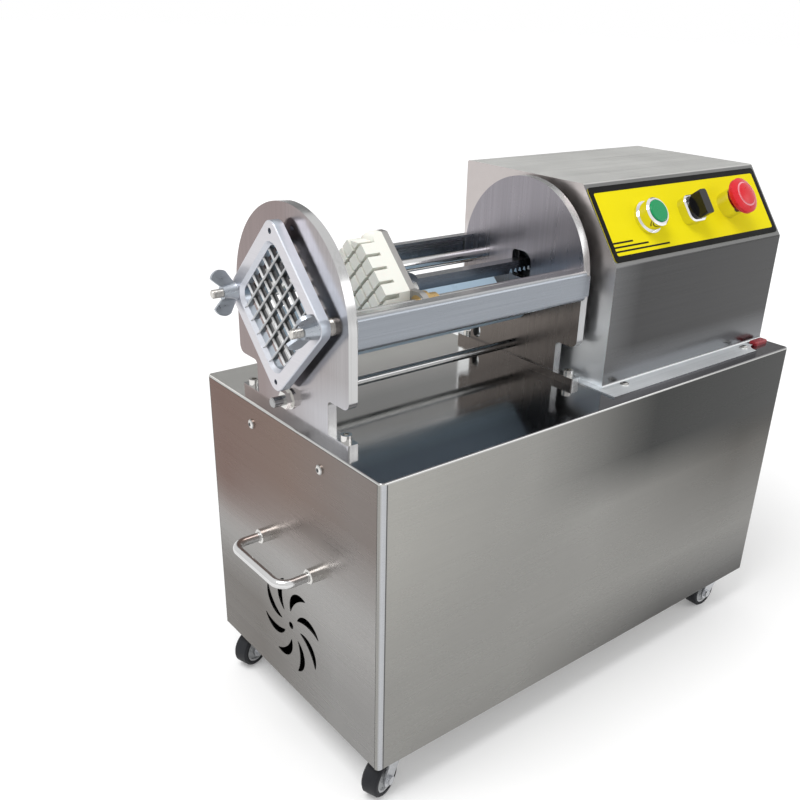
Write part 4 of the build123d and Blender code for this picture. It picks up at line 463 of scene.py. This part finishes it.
# the trough's pale blue is a painted reflection of the sky
M_TROUGH = plastic("trough_painted_sky_reflection", (0.42, 0.55, 0.66), rough=0.30, grain=0.05, vary=0.05)
M_BLACK = plastic("black_moulding", (0.008, 0.008, 0.009), rough=0.20, grain=0.06, spec=0.35)
M_GREEN = plastic("green_button", (0.0, 0.26, 0.085), rough=0.25, spec=0.3, vary=0.04)
M_RED = plastic("red_mushroom", (0.60, 0.012, 0.022), rough=0.28, spec=0.3, vary=0.05, sub=0.05)
M_RUBBER_RED = plastic("red_rubber", (0.30, 0.012, 0.022), rough=0.30, sub=0.3, coat=0.2)
M_YELLOW = plastic("label_yellow_film", (0.76, 0.65, 0.006), rough=0.45, grain=0.03, vary=0.03, spec=0.04)
M_INK = plastic("label_black_ink", (0.006, 0.006, 0.006), rough=0.45, grain=0.04, spec=0.08)
M_RIM = plastic("castor_rim_grey", (0.55, 0.56, 0.57), rough=0.42, grain=0.1)
M_TYRE = plastic(
    "castor_tyre_rubber", (0.014, 0.015, 0.018), rough=0.55, grain=0.25, vary=0.25, spec=0.25, scale=700.0
)

NODE_MATERIALS = {
    "cabinet_shell": M_SIDE,
    "front_panel": M_FRONT,
    "deck_plate": M_DECK,
    "base_plate": M_SIDE,
    "cable_gland": M_BLACK,
    "panel_screws": M_SCREW,
    "handle_bar": M_ROD,
    "handle_ferrules": M_BRIGHT,
    "front_head_plate": M_PLATE,
    "rear_head_plate": M_PLATE_REAR,
    "head_plate_bolts": M_BRIGHT,
    "near_rail": M_RAIL,
    "far_rail": M_RAIL,
    "feed_trough": M_TROUGH,
    "guide_rods": M_ROD,
    "tie_rod": M_TIE,
    "tie_rod_nuts": M_BRIGHT,
    "knife_frame": M_FRAME,
    "long_knives": knife_steel("long_knives"),
    "cross_knives": knife_steel("cross_knives"),
    "frame_studs": M_THREAD,
    "wing_nut_near": M_NUT,
    "wing_nut_far": M_NUT,
    "pusher_block": M_POM,
    "back_plate": M_STEEL,
    "guide_bushes": M_BRONZE,
    "clevis": M_BAR,
    "clevis_bolt": M_BRIGHT,
    "rack_bar": M_BAR,
    "pinion": M_RAIL,
    "gearbox_mount": M_STEEL,
    "gearbox": M_CAST,
    "motor": M_MOTOR,
    "bar_guide": M_CAST,
    "switch_bracket": M_ZINC,
    "limit_switches": M_BLACK,
    "housing_shell": M_HOUSING,
    "control_label": M_YELLOW,
    "start_bezel": M_CHROME,
    "start_button": M_GREEN,
    "selector_bezel": M_CHROME,
    "selector_knob": M_BLACK,
    "estop_bezel": M_CHROME,
    "estop_cap": M_RED,
    "contact_blocks": M_BLACK,
    "red_bumper": M_RUBBER_RED,
    "castor_plates": M_ZINC,
}
for corner in ("front_near", "front_far", "rear_near", "rear_far"):
    NODE_MATERIALS["castor_fork_" + corner] = M_ZINC
    NODE_MATERIALS["castor_hub_" + corner] = M_RIM
    NODE_MATERIALS["castor_tyre_" + corner] = M_TYRE

for node_name, material in NODE_MATERIALS.items():
    mesh = NODES[node_name].data
    mesh.materials.clear()
    mesh.materials.append(material)


# Places on the object, in millimetres: stations run from the cabinet's front face, heights from its deck

FRONT = -278.0
DECK = 355.0


def place(station, beside, height):
    return mm(FRONT + station, beside, DECK + height)


# Pan-head screws: painted shade for a recess in the middle of each head and a painted shadow round its rim

FRONT_SCREW_FACE, FRONT_SCREW_SIDE, FRONT_SCREW_HEIGHT = -3.0, 60.0, -23.5
FLANGE_SCREW_TOP = 4.5
FLANGE_SCREWS = ((336.0, 120.0), (547.0, 123.0))
RECESS_SHADE = (-0.001, 0.0021)
RIM_SHADOW = (0.0040, 0.0046)

for side in (-1, 1):
    screw_heads = [(place(FRONT_SCREW_FACE, side * FRONT_SCREW_SIDE, FRONT_SCREW_HEIGHT), LEFT)]
    for station, beside in FLANGE_SCREWS:
        screw_heads.append((place(station, side * beside, FLANGE_SCREW_TOP), UP))
    for centre, axis in screw_heads:
        # painted shade for the recess, and a painted shadow round the rim
        ringed(M_SCREW, centre, axis, *RECESS_SHADE, (0.05, 0.05, 0.05))
        ringed(M_SCREW, centre, axis, *RIM_SHADOW, (0.25, 0.25, 0.25))


# Print on the controls: a black border and three stripes on the yellow film, a pale ring on the mushroom

LABEL_START, LABEL_LENGTH = 312.0, 283.0
SLOPE_TOP = (-58.0, 197.0)  # beside the middle and over the deck
SLOPE_BOTTOM = (-111.6, 124.8)
ESTOP_STATION = 519.5
STRIPE_START = 318.2
STRIPES = ((30.0, 66.0), (52.0, 70.5), (84.0, 75.0))  # length, and distance below the slope's top edge
STRIPE_WIDTH = 1.8

FILM_THICKNESS = 0.0005
INK_THICKNESS = 0.00012
FILM_WIDTH, FILM_HEIGHT, FILM_CORNER = 0.2830, 0.0799, 0.0040
PRINT_WIDTH, PRINT_HEIGHT = 0.2826, 0.0791
BORDER_WIDTH, BORDER_CORNER = 0.0060, 0.0022
MUSHROOM_RING = (0.0124, 0.0140)

SLOPE_RUN = (SLOPE_TOP[0] - SLOPE_BOTTOM[0], SLOPE_TOP[1] - SLOPE_BOTTOM[1])
SLOPE_U = Vector((1, 0, 0))
SLOPE_V = Vector((0, *SLOPE_RUN)).normalized()
SLOPE_N = SLOPE_U.cross(SLOPE_V)
LABEL_MIDDLE = LABEL_START + LABEL_LENGTH / 2
SLOPE_MIDDLE = ((SLOPE_TOP[0] + SLOPE_BOTTOM[0]) / 2, (SLOPE_TOP[1] + SLOPE_BOTTOM[1]) / 2)
FILM_TOP = place(LABEL_MIDDLE, *SLOPE_MIDDLE) + SLOPE_N * FILM_THICKNESS


def on_label(station, down):
    """Film coordinates of a point given by its station and its distance below the top edge of the slope."""
    return ((station - LABEL_MIDDLE) / 1000.0, (math.hypot(*SLOPE_RUN) / 2 - down) / 1000.0)


def rounded(width, height, radius, steps=6):
    """Outline of a rectangle with round corners, as points round its middle."""
    points = []
    for quarter, (side, end) in enumerate(((1, 1), (-1, 1), (-1, -1), (1, -1))):
        for step in range(steps + 1):
            angle = math.radians(90 * (quarter + step / steps))
            across = side * (width / 2 - radius) + radius * math.cos(angle)
            points.append((across, end * (height / 2 - radius) + radius * math.sin(angle)))
    return points


def printed(name, *outlines):
    """Layer of ink on the film inside the first outline, with the other outlines as holes."""
    bm = bmesh.new()
    edges = []
    for outline in outlines:
        corners = [bm.verts.new(FILM_TOP + SLOPE_U * a + SLOPE_V * b) for a, b in outline]
        edges += [bm.edges.new(pair) for pair in zip(corners, corners[1:] + corners[:1])]
    bmesh.ops.triangle_fill(bm, edges=edges, use_beauty=True, use_dissolve=True, normal=SLOPE_N)
    raised = bmesh.ops.extrude_face_region(bm, geom=list(bm.faces))["geom"]
    top = [item for item in raised if isinstance(item, bmesh.types.BMVert)]
    bmesh.ops.translate(bm, verts=top, vec=SLOPE_N * INK_THICKNESS)
    bmesh.ops.recalc_face_normals(bm, faces=bm.faces)
    mesh = bpy.data.meshes.new(name)
    bm.to_mesh(mesh)
    bm.free()
    mesh.materials.append(M_INK)
    obj = bpy.data.objects.new(name, mesh)
    scene.collection.objects.link(obj)
    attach(obj, "cabinet")


mushroom_centre = FILM_TOP + SLOPE_U * on_label(ESTOP_STATION, 0)[0]
ringed(M_RED, mushroom_centre, SLOPE_N, *MUSHROOM_RING, (0.85, 0.42, 0.48))
printed(
    "label_border",
    rounded(FILM_WIDTH, FILM_HEIGHT, FILM_CORNER),
    rounded(PRINT_WIDTH - 2 * BORDER_WIDTH, PRINT_HEIGHT - 2 * BORDER_WIDTH, BORDER_CORNER),
)
for index, (length, down) in enumerate(STRIPES):
    left, bottom = on_label(STRIPE_START, down)
    right, top = on_label(STRIPE_START + length, down - STRIPE_WIDTH)
    printed(f"label_stripe_{index}", [(left, bottom), (right, bottom), (right, top), (left, top)])


# Camera at the photo's angle, with its slight roll. Places are in millimetres.

CAMERA_PLACE = (-665.8, -668.4, 698.6)
CAMERA_TURNS = ((-40.3692, "Z"), (64.2086, "X"), (2.2629, "Z"))  # heading, tilt and roll, in degrees

camera_data = bpy.data.cameras.new("camera")
camera_data.sensor_width = 36.0
camera_data.lens = 41.058
camera_data.shift_x = -0.0407
camera_data.shift_y = 0.0649
camera_data.clip_start = 0.01
camera = bpy.data.objects.new("camera", camera_data)
scene.collection.objects.link(camera)
camera_matrix = Matrix.Translation(mm(*CAMERA_PLACE))
for angle, axis in CAMERA_TURNS:
    camera_matrix = camera_matrix @ Matrix.Rotation(math.radians(angle), 4, axis)
camera.matrix_world = camera_matrix
scene.camera = camera


# Studio, in metres

FLOOR_SIDE = 60.0
LIGHT_AIM = Vector((0, 0, 0.3))
CARD_AIM = Vector((0, 0, 0.4))


def sheet(name, width, height, mat):
    """Flat rectangle of the studio round its own origin."""
    x, y = width / 2, height / 2
    mesh = bpy.data.meshes.new(name)
    mesh.from_pydata([(-x, -y, 0), (x, -y, 0), (x, y, 0), (-x, y, 0)], [], [(0, 1, 2, 3)])
    mesh.materials.append(mat)
    obj = bpy.data.objects.new(name, mesh)
    scene.collection.objects.link(obj)
    return obj


def aim(obj, location, target):
    obj.location = location
    obj.rotation_euler = (target - Vector(location)).to_track_quat("-Z", "Y").to_euler()


def area_light(name, location, size, power):
    data = bpy.data.lights.new(name, "AREA")
    data.shape = "RECTANGLE"
    data.size, data.size_y = size
    data.energy = power
    obj = bpy.data.objects.new(name, data)
    scene.collection.objects.link(obj)
    aim(obj, location, LIGHT_AIM)


def card(name, location, width, height, tone):
    """Grey studio card that only shows in reflections."""
    m = Mat(name)
    m.set("Base Color", m.mix(m.ramp(m.noise(0.6), 0, 1), (tone * 0.9,) * 3, (tone,) * 3))
    m.set("Roughness", 1.0)
    m.set("Specular IOR Level", 0.0)
    obj = sheet(name, width, height, m.mat)
    aim(obj, location, CARD_AIM)
    obj.visible_camera = False
    obj.visible_shadow = False
    obj.visible_diffuse = False


def studio_floor():
    """Pale floor that fades into the white background with the distance and keeps the object's shadow."""
    m = Mat("studio_floor")
    m.set("Base Color", m.mix(m.ramp(m.noise(2.0, detail=3.0), 0, 1), (0.80,) * 3, (0.82,) * 3))
    m.set("Roughness", 0.9)
    m.set("Specular IOR Level", 0.1)
    m.set("Emission Color", WHITE)
    distance = m.vector_math("LENGTH", m.coord.outputs["Object"], result="Value")
    glow = m.ramp(distance, low=0.18, high=0.45, start=0.6, end=2.6)
    m.set("Emission Strength", m.math("MULTIPLY", m.background_rays(), glow))
    sheet("studio_floor", FLOOR_SIDE, FLOOR_SIDE, m.mat)


def studio_world():
    """Even world light, a little under the white that the background shows."""
    world = bpy.data.worlds.new("studio")
    world.use_nodes = True
    nodes = Nodes(world.node_tree)
    background = nodes.tree.nodes["Background"]
    nodes.feed(background.inputs["Color"], WHITE)
    strength = nodes.ramp(nodes.background_rays(), low=0.75, high=1.0, start=0, end=1)
    nodes.feed(background.inputs["Strength"], strength)
    scene.world = world


studio_floor()
studio_world()
area_light("key_light", location=(-1.2, -0.1, 2.8), size=(1.4, 1.4), power=46)
area_light("fill_light", location=(1.8, -2.2, 1.6), size=(1.8, 1.2), power=13)
card("card_behind", location=(2.3, 2.7, 2.1), width=4.5, height=2.6, tone=0.42)
